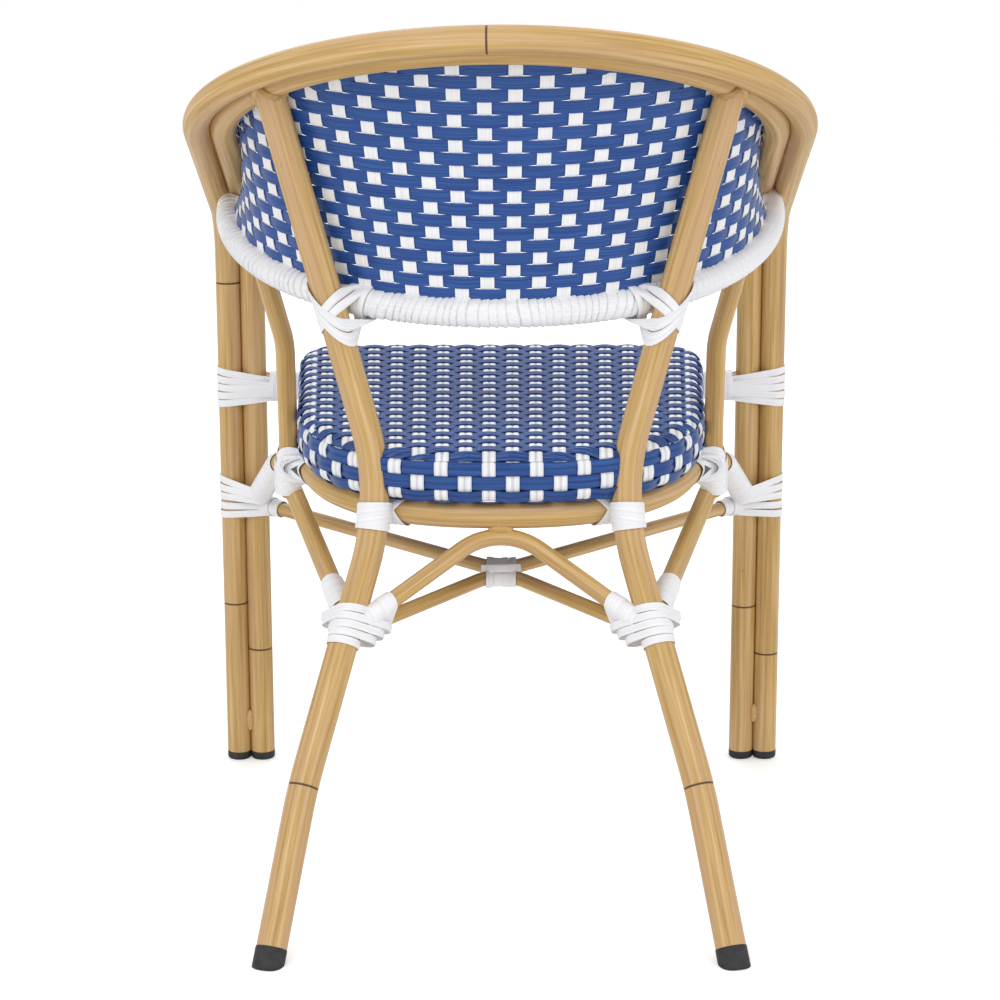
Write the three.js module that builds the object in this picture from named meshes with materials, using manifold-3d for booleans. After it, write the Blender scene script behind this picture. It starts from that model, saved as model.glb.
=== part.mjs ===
// A bistro armchair: bent aluminium tube with a bamboo look, a woven plastic seat and back, and lashings.
// Lengths are millimetres, +Z is up and the chair faces -Y. It is drawn with y = 0 on the line of the front
// legs, and at the end it is moved so that the origin lies on the floor under the middle of its box.
// "left" is the sitter's left, on the +X side.

import * as THREE from "three";
import { mergeVertices, toCreasedNormals } from "three/addons/utils/BufferGeometryUtils.js";
import Module from "manifold-3d";

const wasm = await Module();
wasm.setup();

// Clearances
const GAP = 0.3;
const OVERRUN = 40;

// Tube diameters
const FRAME_TUBE = 25;
const LEG_TUBE = 28;
const RAIL_TUBE = 24;
const RING_TUBE = 25;
const SUPPORT_TUBE = 19;
const SIDE_ARCH_TUBE = 19;
const REAR_ARCH_TUBE = 16;
const BRACE_TUBE = 14;
const STUB_TUBE = 25;
const SEAT_FRAME_TUBE = 20;
const CROSS_BAR_TUBE = 16;
const WEAVE_ROD = 5;
const TUBE_WALL = 1.6;

// Doubled frame: two front legs, and two arms and the back's top rail in one bend that rises to the back
const LOOP_HALF_WIDTH = 286;
const LOOP_SLOPE = THREE.MathUtils.degToRad(24.8);
const ARM_FRONT_HEIGHT = 591;
const ARM_STRAIGHT = 277;
const LOOP_DEPTH = 251;
const FRONT_BEND_RADIUS = 62;

// Rear legs
const LEG_JOIN_ANGLE = THREE.MathUtils.degToRad(37.2);
const LEG_WAIST_SPREAD = 109;
const LEG_WAIST_DEPTH = 343;
const LEG_WAIST_HEIGHT = 377;
const LEG_KNEE_SPREAD = 181;
const LEG_KNEE_DEPTH = 488;
const LEG_KNEE_HEIGHT = 138;
const LEG_FOOT_SPREAD = 208.5;
const LEG_FOOT_RUN = 82;
const LEG_FOOT_DEPTH = LEG_KNEE_DEPTH + LEG_FOOT_RUN;
const LEG_END_HEIGHT = 13;
const LEG_WAIST_RADIUS = 170;
const LEG_KNEE_RADIUS = 600;
const LEG_TOP_SETBACK = 6;

// Seat: its top plane falls to the back
const SEAT_FRONT_HEIGHT = 455;
const SEAT_SLOPE = THREE.MathUtils.degToRad(4.6);
const SEAT_THICKNESS = 48;
const SEAT_HALF_WIDTH = 201;
const SEAT_FRONT_FLARE = 12;
const SEAT_MIDDLE = 150;
const SEAT_FRONT_REACH = 167;
const SEAT_REAR_REACH = 226;
const SEAT_ROUNDING = 15;
const SEAT_DECK = 16;
const SEAT_RIM = 31;
const SEAT_FRAME_INSET = 28;
const SEAT_REAR_SQUARENESS = 2.8;
const SEAT_FRONT_SQUARENESS = 9;
const CROSS_BAR_SPACING = 150;

// Hoop under the seat
const RING_HALF_WIDTH = 190;
const RING_REAR_REACH = 203;
const RING_FRONT_REACH = 142;
const RING_SQUARENESS = 2.4;

// Lower back rail, in a plane that falls to the back
const RAIL_BACK_HEIGHT = 556;
const RAIL_SLOPE = THREE.MathUtils.degToRad(14);
const RAIL_HALF_WIDTH = 269;
const RAIL_CURVE_DEPTH = 258;
const RAIL_SQUARENESS = 2.12;
const RAIL_WRAP = 1.9;

// Woven back
const BACK_THICKNESS = 5;
const BACK_FRONT_END = 140;
const BACK_COLUMNS = 30;
const BACK_ROWS = 2;

// Arm supports, side arches, rear arch, and the two bent braces that touch back to back in the middle
const SUPPORT_DEPTH = 194;
const SUPPORT_LEAN = 20;
const SUPPORT_LOW_RISE = 68.9;
const SUPPORT_HIGH_RISE = 90;
const SUPPORT_TOP_DEPTH = 254;
const SUPPORT_BEND_RADIUS = 80;
const SIDE_ARCH_PEAK_SPREAD = 225;
const SIDE_ARCH_PEAK_DEPTH = 128;
const SIDE_ARCH_PEAK_HEIGHT = 363;
const SIDE_ARCH_REAR_HEIGHT = 271;
const SIDE_ARCH_RADIUS = 45;
const REAR_ARCH_END_HEIGHT = 262;
const REAR_ARCH_DEPTH = 352;
const REAR_ARCH_RADIUS = 60;
const BRACE_FRONT_HEIGHT = 286;
const BRACE_REAR_HEIGHT = 261;
const BRACE_FRONT_DIP = 4;
const BRACE_REAR_RISE = 16;
const BRACE_MEETING_DEPTH = 264;
const BRACE_RADIUS = 30;
const ARCH_OVER_BRACE = 4;
const SIDE_ARCH_FRONT_HEIGHT = BRACE_FRONT_HEIGHT + ARCH_OVER_BRACE;

// Stub that carries the seat's front on each front leg
const STUB_BELOW_SEAT = 42;
const STUB_HEIGHT = SEAT_FRONT_HEIGHT - STUB_BELOW_SEAT;
const STUB_WRAP_START = 16.5;

// Foot caps
const CAP_HEIGHT = 9;
const CAP_ROUNDING = 3;
const CAP_PLUG = 16;
const CAP_BORE_DEPTH = 20;
const ROUNDING_SHARE = 0.3;

// Lashing strip
const STRIP_WIDTH = 7.4;
const STRIP_THICKNESS = 1.3;
const STRIP_PITCH = 8.5;
const SLANT_GAP = 0.8;
const STUB_LASH_SPREAD = 17.5;
const BRACE_LASH_DROP = 15;
const ARCH_LASH_RISE = 24;
const REAR_LASH_RISE = 38;
const REAR_LASH_HEIGHT = BRACE_REAR_HEIGHT + REAR_LASH_RISE;
const REAR_LASH_FALL = 27;
const STRIP_ROOM = 3;
const BINDING_REACH = 27;
const PAIR_BINDING_REACH = 39;
const STEPPED_TURNS = [0.1, 0.65, 1.05, 1.9];
const REAR_LASH_TURNS = [-0.2, 0.3, 1.8];
const CROSSING_TURNS = 2;
const BACK_LASH_TURNS = 3;
const STUB_TURNS = 2.4;
const BINDING_TURNS = 2;
const SHORT_BINDING_TURNS = 1.5;
const CENTRE_TURNS = 3;

// Fineness of the round shapes
const TUBE_SIDES = 12;
const SMALL_TUBE_SIDES = 8;
const BEND_STEPS = 5;
const LOOP_STEPS = 26;
const HOOP_STEPS = 12;
const RAIL_STEPS = 26;
const OUTLINE_STEPS = 10;
const STRIP_STEPS = 10;
const SEARCH_STEPS = 40;
const SEARCH_STEP = 1;
const GAP_SAMPLES = 4;

// Finishes
const TAN = { color: 0xc19a5b, roughness: 0.42, metalness: 0 };
const WHITE = { color: 0xf1f1f4, roughness: 0.4, metalness: 0 };
const BLUE = { color: 0x1f4b92, roughness: 0.4, metalness: 0 };
const BLACK = { color: 0x17171a, roughness: 0.6, metalness: 0 };

const UP = new THREE.Vector3(0, 0, 1);
const point = (x, y, z) => new THREE.Vector3(x, y, z);

// Solids

function solidOf(geometry) {
  const bare = geometry.clone();
  bare.deleteAttribute("normal");
  bare.deleteAttribute("uv");
  const merged = mergeVertices(bare);
  return new wasm.Manifold(
    new wasm.Mesh({
      numProp: 3,
      vertProperties: merged.attributes.position.array,
      triVerts: new Uint32Array(merged.index.array),
    }),
  );
}

function meshOf(name, solid, finish) {
  const made = solid.getMesh();
  const geometry = new THREE.BufferGeometry();
  geometry.setAttribute("position", new THREE.BufferAttribute(made.vertProperties, 3));
  geometry.setIndex(new THREE.BufferAttribute(made.triVerts, 1));
  const mesh = new THREE.Mesh(toCreasedNormals(geometry), new THREE.MeshStandardMaterial(finish));
  mesh.name = name;
  return mesh;
}

// The largest piece that is left of a solid when the cutters are taken out of it.
function cutAll(solid, cutters) {
  const pieces = cutters.reduce((left, cutter) => left.subtract(cutter), solid).decompose();
  return pieces.reduce((largest, piece) => (piece.volume() > largest.volume() ? piece : largest));
}

// Routes: the centre lines of tubes and strips, as lists of points

// A line with its inner corners rounded to the given radii.
function rounded(corners, radii) {
  const route = [corners[0]];
  for (let i = 1; i < corners.length - 1; i += 1) {
    const before = corners[i - 1].clone().sub(corners[i]).normalize();
    const after = corners[i + 1].clone().sub(corners[i]).normalize();
    const half = before.angleTo(after) / 2;
    const toCentre = before.clone().add(after).normalize();
    const centre = corners[i].clone().addScaledVector(toCentre, radii[i - 1] / Math.sin(half));
    const start = corners[i].clone().addScaledVector(before, radii[i - 1] / Math.tan(half)).sub(centre);
    const axis = before.clone().cross(after).normalize();
    const turn = -(Math.PI - 2 * half);
    for (let k = 0; k <= BEND_STEPS; k += 1) {
      route.push(start.clone().applyAxisAngle(axis, (turn * k) / BEND_STEPS).add(centre));
    }
  }
  route.push(corners[corners.length - 1]);
  return route;
}

const otherSide = (solid) => solid.mirror([1, 0, 0]);
const bothSides = (solid) => [solid, otherSide(solid)];
const mirrored = (route) => route.map((p) => point(-p.x, p.y, p.z));

function tangentsOf(route) {
  return route.map((p, i) => {
    const ahead = route[Math.min(i + 1, route.length - 1)];
    const behind = route[Math.max(i - 1, 0)];
    const into = p.clone().sub(behind).normalize();
    const outOf = ahead.clone().sub(p).normalize();
    return into.add(outOf).normalize();
  });
}

// Normals that turn with the route and never twist round it.
function steadyNormals(tangents) {
  const spare = Math.abs(tangents[0].x) < 0.9 ? point(1, 0, 0) : point(0, 1, 0);
  let normal = spare.cross(tangents[0]).normalize();
  return tangents.map((tangent) => {
    normal = normal.clone().addScaledVector(tangent, -normal.dot(tangent)).normalize();
    return normal;
  });
}

// A path that ExtrudeGeometry follows station by station.
class Path extends THREE.Curve {
  constructor(route, normals) {
    super();
    this.route = route;
    this.tangents = tangentsOf(route);
    const square = (n, t) => n.clone().addScaledVector(t, -n.dot(t)).normalize();
    this.normals = normals
      ? normals.map((n, i) => square(n, this.tangents[i]))
      : steadyNormals(this.tangents);
    this.binormals = this.tangents.map((t, i) => t.clone().cross(this.normals[i]));
  }

  getSpacedPoints() {
    return this.route;
  }

  computeFrenetFrames() {
    return { tangents: this.tangents, normals: this.normals, binormals: this.binormals };
  }
}

function roundSection(radius, sides) {
  const corners = [];
  for (let i = 0; i < sides; i += 1) {
    const angle = (2 * Math.PI * i) / sides;
    corners.push(new THREE.Vector2(radius * Math.cos(angle), radius * Math.sin(angle)));
  }
  return new THREE.Shape(corners);
}

function swept(section, route, normals) {
  const path = new Path(route, normals);
  return solidOf(new THREE.ExtrudeGeometry(section, { steps: route.length - 1, extrudePath: path }));
}

const tube = (route, diameter, sides = TUBE_SIDES) => swept(roundSection(diameter / 2, sides), route);

// The space that a tube keeps clear round itself.
function clearance(route, diameter, sides = TUBE_SIDES) {
  const radius = (diameter / 2 + GAP) / Math.cos(Math.PI / sides);
  return swept(roundSection(radius, sides), route);
}

// The least distance from the points of one route to another route.
function distanceBetween(route, other) {
  const line = new THREE.Line3();
  const nearest = new THREE.Vector3();
  let least = Infinity;
  for (let i = 1; i < other.length; i += 1) {
    line.set(other[i - 1], other[i]);
    for (const p of route) {
      line.closestPointToPoint(p, true, nearest);
      least = Math.min(least, nearest.distanceTo(p));
    }
  }
  return least;
}

// Points at close steps along a route, so that distances to it are true.
function densely(route, step) {
  const dense = [];
  for (let i = 1; i < route.length; i += 1) {
    const count = Math.max(1, Math.ceil(route[i].distanceTo(route[i - 1]) / step));
    for (let k = 0; k < count; k += 1) dense.push(route[i - 1].clone().lerp(route[i], k / count));
  }
  dense.push(route[route.length - 1]);
  return dense;
}

// How far routeAt must be moved, from touching deep to clear, to lie `reach` away from the other route.
function shiftToTouch(routeAt, other, reach, deep, clear) {
  let inside = deep;
  let outside = clear;
  for (let i = 0; i < SEARCH_STEPS; i += 1) {
    const middle = (inside + outside) / 2;
    if (distanceBetween(densely(routeAt(middle), FRAME_TUBE), other) < reach) inside = middle;
    else outside = middle;
  }
  return outside;
}

// The point of a route where one of its coordinates has a given value, searched from the route's start.
function pointAt(route, axis, value) {
  for (let i = 1; i < route.length; i += 1) {
    const from = route[i - 1][axis];
    const to = route[i][axis];
    if (from !== to && (value - from) * (value - to) <= 0) {
      return route[i - 1].clone().lerp(route[i], (value - from) / (to - from));
    }
  }
  throw new Error("no point of the route has " + axis + " " + value);
}

function lengthsAlong(route) {
  const lengths = [0];
  for (let i = 1; i < route.length; i += 1) {
    lengths.push(lengths[i - 1] + route[i].distanceTo(route[i - 1]));
  }
  return lengths;
}

function pointAlong(route, lengths, share) {
  const wanted = share * lengths[lengths.length - 1];
  let i = 1;
  while (i < route.length - 1 && lengths[i] < wanted) i += 1;
  const within = (wanted - lengths[i - 1]) / (lengths[i] - lengths[i - 1]);
  return route[i - 1].clone().lerp(route[i], within);
}

// Superellipse quarter-turn values: the share of the half width and of the half depth at an angle.
function roundedSquare(angle, squareness) {
  const c = Math.cos(angle);
  const s = Math.sin(angle);
  return [
    Math.sign(c) * Math.abs(c) ** (2 / squareness),
    Math.sign(s) * Math.abs(s) ** (2 / squareness),
  ];
}

// Doubled frame tube

const PAIR_SPACING = FRAME_TUBE + GAP;

const onLoopPlane = (x, along) =>
  point(x, along * Math.cos(LOOP_SLOPE), ARM_FRONT_HEIGHT + along * Math.sin(LOOP_SLOPE));

// A point of the back's curve, moved inwards along its normal.
function loopPoint(angle, inset) {
  const slope = new THREE.Vector2(Math.cos(angle) / LOOP_HALF_WIDTH, Math.sin(angle) / LOOP_DEPTH);
  const normal = slope.normalize();
  return onLoopPlane(
    LOOP_HALF_WIDTH * Math.cos(angle) - inset * normal.x,
    ARM_STRAIGHT + LOOP_DEPTH * Math.sin(angle) - inset * normal.y,
  );
}

function loopCurve(inset, steps = LOOP_STEPS) {
  const curve = [];
  for (let i = 0; i <= steps; i += 1) curve.push(loopPoint((Math.PI * i) / steps, inset));
  return curve;
}

function frameRoute(inset) {
  const spread = LOOP_HALF_WIDTH - inset;
  const foot = point(spread, 0, CAP_HEIGHT + GAP);
  const corner = point(spread, 0, ARM_FRONT_HEIGHT);
  const curve = loopCurve(inset);
  const bend = rounded([foot, corner, curve[0]], [FRONT_BEND_RADIUS]).slice(0, -1);
  return [...bend, ...curve, ...mirrored(bend).reverse()];
}

const outerRoute = frameRoute(0);
const innerRoute = frameRoute(PAIR_SPACING);
const outerClear = clearance(outerRoute, FRAME_TUBE);
const innerClear = clearance(innerRoute, FRAME_TUBE);
const INNER_SPREAD = LOOP_HALF_WIDTH - PAIR_SPACING;

const boreAt = (foot, axis, diameter) => {
  const inside = foot.clone().addScaledVector(axis, CAP_BORE_DEPTH);
  const outside = foot.clone().addScaledVector(axis, -OVERRUN);
  return tube([outside, inside], diameter - 2 * TUBE_WALL);
};

function frameTube(route) {
  const bores = [route[0], route[route.length - 1]].map((foot) => boreAt(foot, UP, FRAME_TUBE));
  return cutAll(tube(route, FRAME_TUBE), bores);
}

// Rear legs

const legTop = loopPoint(LEG_JOIN_ANGLE, PAIR_SPACING);
const legWaist = point(LEG_WAIST_SPREAD, LEG_WAIST_DEPTH, LEG_WAIST_HEIGHT);
const legKnee = point(LEG_KNEE_SPREAD, LEG_KNEE_DEPTH, LEG_KNEE_HEIGHT);
const legGround = point(LEG_FOOT_SPREAD, LEG_FOOT_DEPTH, 0);
const legFootAxis = legKnee.clone().sub(legGround).normalize();
const legEnd = legGround.clone().addScaledVector(legFootAxis, LEG_END_HEIGHT / legFootAxis.z);
const legHead = legTop.clone().addScaledVector(legWaist.clone().sub(legTop).normalize(), LEG_TOP_SETBACK);
const legRoute = rounded([legHead, legWaist, legKnee, legEnd], [LEG_WAIST_RADIUS, LEG_KNEE_RADIUS]);
const legClear = clearance(legRoute, LEG_TUBE);
const legPoint = (height) => pointAt(legRoute, "z", height);

// Hoop under the seat, parallel to the seat's top plane

const seatFront = SEAT_MIDDLE - SEAT_FRONT_REACH;
const seatPlane = (y, below) =>
  SEAT_FRONT_HEIGHT - (y - seatFront) * Math.tan(SEAT_SLOPE) - below / Math.cos(SEAT_SLOPE);

// A closed ring from a half hoop that starts and ends on x = 0, and its mirror image.
function closedRing(half, section) {
  const overlap = GAP;
  const ends = [half[0], half[half.length - 1]].map((p) => p.clone().setX(-overlap));
  const route = [ends[0], ...half.slice(1, -1), ends[1]];
  const normals = route.map(() => UP);
  const one = swept(section, route, normals);
  const other = swept(section, mirrored(route), normals);
  return one.add(other);
}

const ringBelow = SEAT_THICKNESS + STRIP_ROOM + RING_TUBE / 2;
function ringAt(middle) {
  const route = [];
  for (let i = -HOOP_STEPS; i <= HOOP_STEPS; i += 1) {
    const [across, along] = roundedSquare((Math.PI * i) / (2 * HOOP_STEPS), RING_SQUARENESS);
    const y = middle + along * (along > 0 ? RING_REAR_REACH : RING_FRONT_REACH);
    route.push(point(RING_HALF_WIDTH * across, y, seatPlane(y, ringBelow)));
  }
  return route;
}
const ringReach = (RING_TUBE + LEG_TUBE) / 2 + GAP;
const ringMiddle = shiftToTouch(ringAt, legRoute, ringReach, SEAT_MIDDLE + RING_REAR_REACH / 2, seatFront);
const ringHalf = ringAt(ringMiddle);
const ringClear = closedRing(
  ringHalf,
  roundSection((RING_TUBE / 2 + GAP) / Math.cos(Math.PI / TUBE_SIDES), TUBE_SIDES),
);

// Seat

// The seat's outline in its own plane: square at the front, round at the back and wider at the front.
function seatOutline(inset) {
  const outline = [];
  const count = 4 * OUTLINE_STEPS;
  for (let i = 0; i < count; i += 1) {
    const angle = (2 * Math.PI * (i + 0.5)) / count;
    const rear = angle < Math.PI;
    const [across, along] = roundedSquare(angle, rear ? SEAT_REAR_SQUARENESS : SEAT_FRONT_SQUARENESS);
    const flare = SEAT_FRONT_FLARE * (rear ? 0 : -along);
    const reach = rear ? SEAT_REAR_REACH : SEAT_FRONT_REACH;
    outline.push(
      new THREE.Vector2((SEAT_HALF_WIDTH + flare - inset) * across, SEAT_MIDDLE + (reach - inset) * along),
    );
  }
  return outline;
}

// Turns a solid drawn flat, with its top at z = 0, into the seat's plane.
function inSeatPlane(solid) {
  const turned = new THREE.Matrix4().makeRotationX(-SEAT_SLOPE);
  const lifted = new THREE.Matrix4().makeTranslation(0, seatFront, SEAT_FRONT_HEIGHT);
  const flat = new THREE.Matrix4().makeTranslation(0, -seatFront, 0);
  return solid.transform(lifted.multiply(turned).multiply(flat).elements);
}

function slab(outline, top, bottom, rounding = 0) {
  const geometry = new THREE.ExtrudeGeometry(new THREE.Shape(outline), {
    depth: top - bottom - 2 * rounding,
    bevelEnabled: rounding > 0,
    bevelThickness: rounding,
    bevelSize: rounding,
    bevelOffset: -rounding,
    bevelSegments: 3,
  });
  return solidOf(geometry.translate(0, 0, bottom + rounding));
}

const seatFrameBelow = SEAT_DECK + GAP + CROSS_BAR_TUBE / 2;
function seatFrameHalf() {
  const outline = seatOutline(SEAT_FRAME_INSET);
  const half = [...outline.slice(3 * OUTLINE_STEPS), ...outline.slice(0, OUTLINE_STEPS)];
  const route = half.map((p) => point(p.x, p.y, seatPlane(p.y, seatFrameBelow)));
  const ends = [route[0], route[route.length - 1]].map((p) => p.clone().setX(0));
  return [ends[0], ...route, ends[1]];
}

const seatFrameRoute = seatFrameHalf();
const seatFrame = closedRing(seatFrameRoute, roundSection(SEAT_FRAME_TUBE / 2, SMALL_TUBE_SIDES));
const seatFrameClear = closedRing(
  seatFrameRoute,
  roundSection(SEAT_FRAME_TUBE / 2 + GAP / Math.cos(Math.PI / SMALL_TUBE_SIDES), SMALL_TUBE_SIDES),
);

function crossBarRoute(y) {
  const height = seatPlane(y, seatFrameBelow);
  const reach = SEAT_HALF_WIDTH - SEAT_FRAME_INSET;
  return [point(reach, y, height), point(-reach, y, height)];
}

const seatFrameSpread = seatFrameRoute.reduce((widest, p) => Math.max(widest, p.x), 0);
const stubRoute = [point(INNER_SPREAD, 0, STUB_HEIGHT), point(seatFrameSpread, 0, STUB_HEIGHT)];
const stubClear = clearance(stubRoute, STUB_TUBE);

function wovenSeat(lashingsClear) {
  const body = slab(seatOutline(0), 0, -SEAT_THICKNESS, SEAT_ROUNDING);
  const pocket = slab(seatOutline(SEAT_RIM), -SEAT_DECK, -SEAT_THICKNESS - OVERRUN);
  const atSides = [stubClear, legClear, ...lashingsClear].flatMap(bothSides);
  return cutAll(inSeatPlane(body.subtract(pocket)), [seatFrameClear, ...atSides]);
}

// Lower back rail, its wrapping and the woven back

const RAIL_WRAPPED = RAIL_TUBE + 2 * (GAP + RAIL_WRAP);
const railRise = Math.tan(RAIL_SLOPE);
function railHalf(rear) {
  const height = (y) => RAIL_BACK_HEIGHT + (rear - y) * railRise;
  const middle = rear - RAIL_CURVE_DEPTH;
  const end = (height(0) - ARM_FRONT_HEIGHT) / (Math.tan(LOOP_SLOPE) + railRise);
  const route = [];
  for (let i = 0; i <= RAIL_STEPS / 2; i += 1) {
    const [across, along] = roundedSquare((Math.PI * i) / RAIL_STEPS, RAIL_SQUARENESS);
    const y = middle + RAIL_CURVE_DEPTH * along;
    if (y > end) route.push(point(RAIL_HALF_WIDTH * across, y, height(y)));
  }
  return [point(route[0].x, end, height(end)), ...route];
}
const railReach = (RAIL_WRAPPED + LEG_TUBE) / 2 + GAP;
const railRear = shiftToTouch(railHalf, legRoute, railReach, legTop.y + LEG_TUBE, RAIL_CURVE_DEPTH);
const railRoute = (() => {
  const half = railHalf(railRear);
  return [...half, ...mirrored(half).reverse().slice(1)];
})();
const railClear = clearance(railRoute, RAIL_WRAPPED);

const rodInset = PAIR_SPACING + FRAME_TUBE / 2 + GAP + WEAVE_ROD / 2;
const rodRoute = (() => {
  const start = onLoopPlane(LOOP_HALF_WIDTH - rodInset, BACK_FRONT_END / Math.cos(LOOP_SLOPE));
  return [start, ...loopCurve(rodInset), ...mirrored([start])];
})();

const rodClear = clearance(rodRoute, WEAVE_ROD, SMALL_TUBE_SIDES);

// The back's weave: straight across from the rod under the top rail to the top of the wrapped rail.
function wovenBack(lashingsClear) {
  const bottom = railRoute.filter((p) => p.y >= BACK_FRONT_END);
  const topLengths = lengthsAlong(rodRoute);
  const bottomLengths = lengthsAlong(bottom);
  const grid = [];
  for (let i = 0; i <= BACK_COLUMNS; i += 1) {
    const high = pointAlong(rodRoute, topLengths, i / BACK_COLUMNS);
    const low = pointAlong(bottom, bottomLengths, i / BACK_COLUMNS);
    for (let k = 0; k <= BACK_ROWS; k += 1) grid.push(low.clone().lerp(high, k / BACK_ROWS));
  }
  const shell = thickened(grid, BACK_COLUMNS, BACK_ROWS, BACK_THICKNESS);
  const atSides = [legClear, ...lashingsClear].flatMap(bothSides);
  return cutAll(shell, [railClear, rodClear, innerClear, ...atSides]);
}

// A closed shell of even thickness over a grid of points.
function thickened(grid, columns, rows, thickness) {
  const at = (i, k) => grid[i * (rows + 1) + k];
  const normals = grid.map((p, index) => {
    const i = Math.floor(index / (rows + 1));
    const k = index % (rows + 1);
    const along = at(Math.min(i + 1, columns), k).clone().sub(at(Math.max(i - 1, 0), k));
    const upward = at(i, Math.min(k + 1, rows)).clone().sub(at(i, Math.max(k - 1, 0)));
    return along.cross(upward).normalize();
  });
  const positions = [];
  for (const side of [0.5, -0.5]) {
    grid.forEach((p, index) => {
      positions.push(...p.clone().addScaledVector(normals[index], side * thickness));
    });
  }
  const faces = [];
  const half = grid.length;
  const id = (i, k, layer) => i * (rows + 1) + k + layer * half;
  const quad = (a, b, c, d) => faces.push(a, b, c, a, c, d);
  for (let i = 0; i < columns; i += 1) {
    for (let k = 0; k < rows; k += 1) {
      quad(id(i, k, 0), id(i + 1, k, 0), id(i + 1, k + 1, 0), id(i, k + 1, 0));
      quad(id(i, k, 1), id(i, k + 1, 1), id(i + 1, k + 1, 1), id(i + 1, k, 1));
    }
    quad(id(i, 0, 0), id(i, 0, 1), id(i + 1, 0, 1), id(i + 1, 0, 0));
    quad(id(i, rows, 0), id(i + 1, rows, 0), id(i + 1, rows, 1), id(i, rows, 1));
  }
  for (let k = 0; k < rows; k += 1) {
    quad(id(0, k, 0), id(0, k + 1, 0), id(0, k + 1, 1), id(0, k, 1));
    quad(id(columns, k, 0), id(columns, k, 1), id(columns, k + 1, 1), id(columns, k + 1, 0));
  }
  const geometry = new THREE.BufferGeometry();
  geometry.setAttribute("position", new THREE.Float32BufferAttribute(positions, 3));
  geometry.setIndex(faces);
  return solidOf(geometry);
}

// Braces and arches: each ends on the axis of a leg and is cut back by that leg

const frontLegPoint = (height) => point(INNER_SPREAD, 0, height);

// A bar from a leg to the middle and on to the leg across.
const bentBar = (end, depth, height, radius) =>
  rounded([end, point(0, depth, height), mirrored([end])[0]], [radius]);

const frontBraceEnd = frontLegPoint(BRACE_FRONT_HEIGHT);
const frontBraceRoute = bentBar(
  frontBraceEnd,
  BRACE_MEETING_DEPTH,
  frontBraceEnd.z - BRACE_FRONT_DIP,
  BRACE_RADIUS,
);
const rearBraceEnd = legPoint(BRACE_REAR_HEIGHT);
const rearBraceAt = (depth) => bentBar(rearBraceEnd, depth, rearBraceEnd.z + BRACE_REAR_RISE, BRACE_RADIUS);
const bracesTouching = shiftToTouch(
  rearBraceAt,
  frontBraceRoute,
  BRACE_TUBE + GAP,
  BRACE_MEETING_DEPTH - OVERRUN,
  BRACE_MEETING_DEPTH + OVERRUN,
);
const rearBraceRoute = rearBraceAt(bracesTouching);

const sideArchRoute = rounded(
  [
    legPoint(SIDE_ARCH_REAR_HEIGHT),
    point(SIDE_ARCH_PEAK_SPREAD, SIDE_ARCH_PEAK_DEPTH, SIDE_ARCH_PEAK_HEIGHT),
    frontLegPoint(SIDE_ARCH_FRONT_HEIGHT),
  ],
  [SIDE_ARCH_RADIUS],
);
const sideArchClear = clearance(sideArchRoute, SIDE_ARCH_TUBE, SMALL_TUBE_SIDES);

const rearArchEnd = legPoint(REAR_ARCH_END_HEIGHT);
const rearArchAt = (height) => bentBar(rearArchEnd, REAR_ARCH_DEPTH, height, REAR_ARCH_RADIUS);
const rearArchReach = (RING_TUBE + REAR_ARCH_TUBE) / 2 + GAP;
const ringRear = ringHalf[ringHalf.length - 1];
const rearArchRoute = rearArchAt(
  shiftToTouch(rearArchAt, ringHalf, rearArchReach, ringRear.z, REAR_ARCH_END_HEIGHT + REAR_ARCH_TUBE),
);

// Arm supports: from each side arch, past the ring and the seat, to the lower back rail
function supportAt(spread) {
  const foot = pointAt(sideArchRoute, "y", SUPPORT_DEPTH);
  const lowBend = foot.z + SUPPORT_LOW_RISE;
  return rounded(
    [
      point(spread, SUPPORT_DEPTH, foot.z),
      point(spread, SUPPORT_DEPTH, lowBend),
      point(spread, SUPPORT_DEPTH + SUPPORT_LEAN, lowBend + SUPPORT_HIGH_RISE),
      pointAt(railRoute, "y", SUPPORT_TOP_DEPTH),
    ],
    [SUPPORT_BEND_RADIUS, SUPPORT_BEND_RADIUS],
  );
}
const supportReach = (RING_TUBE + SUPPORT_TUBE) / 2 + GAP;
const supportRoute = supportAt(
  shiftToTouch(supportAt, ringHalf, supportReach, RING_HALF_WIDTH, LOOP_HALF_WIDTH),
);

const smallTube = (route, diameter) => tube(route, diameter, SMALL_TUBE_SIDES);

// Foot caps: a cup under the tube's end with a plug in its bore

function footCap(diameter, height) {
  const outer = diameter / 2;
  const plug = (diameter / 2 - TUBE_WALL) * Math.cos(Math.PI / TUBE_SIDES) - GAP;
  const profile = [
    new THREE.Vector2(0, 0),
    new THREE.Vector2(outer - CAP_ROUNDING, 0),
    new THREE.Vector2(outer - CAP_ROUNDING * ROUNDING_SHARE, CAP_ROUNDING * ROUNDING_SHARE),
    new THREE.Vector2(outer, CAP_ROUNDING),
    new THREE.Vector2(outer, height),
    new THREE.Vector2(plug, height),
    new THREE.Vector2(plug, height + CAP_PLUG),
    new THREE.Vector2(0, height + CAP_PLUG),
  ];
  return solidOf(new THREE.LatheGeometry(profile, TUBE_SIDES).rotateX(Math.PI / 2));
}

const frontCap = (spread) => footCap(FRAME_TUBE, CAP_HEIGHT).translate([spread, 0, 0]);

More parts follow.
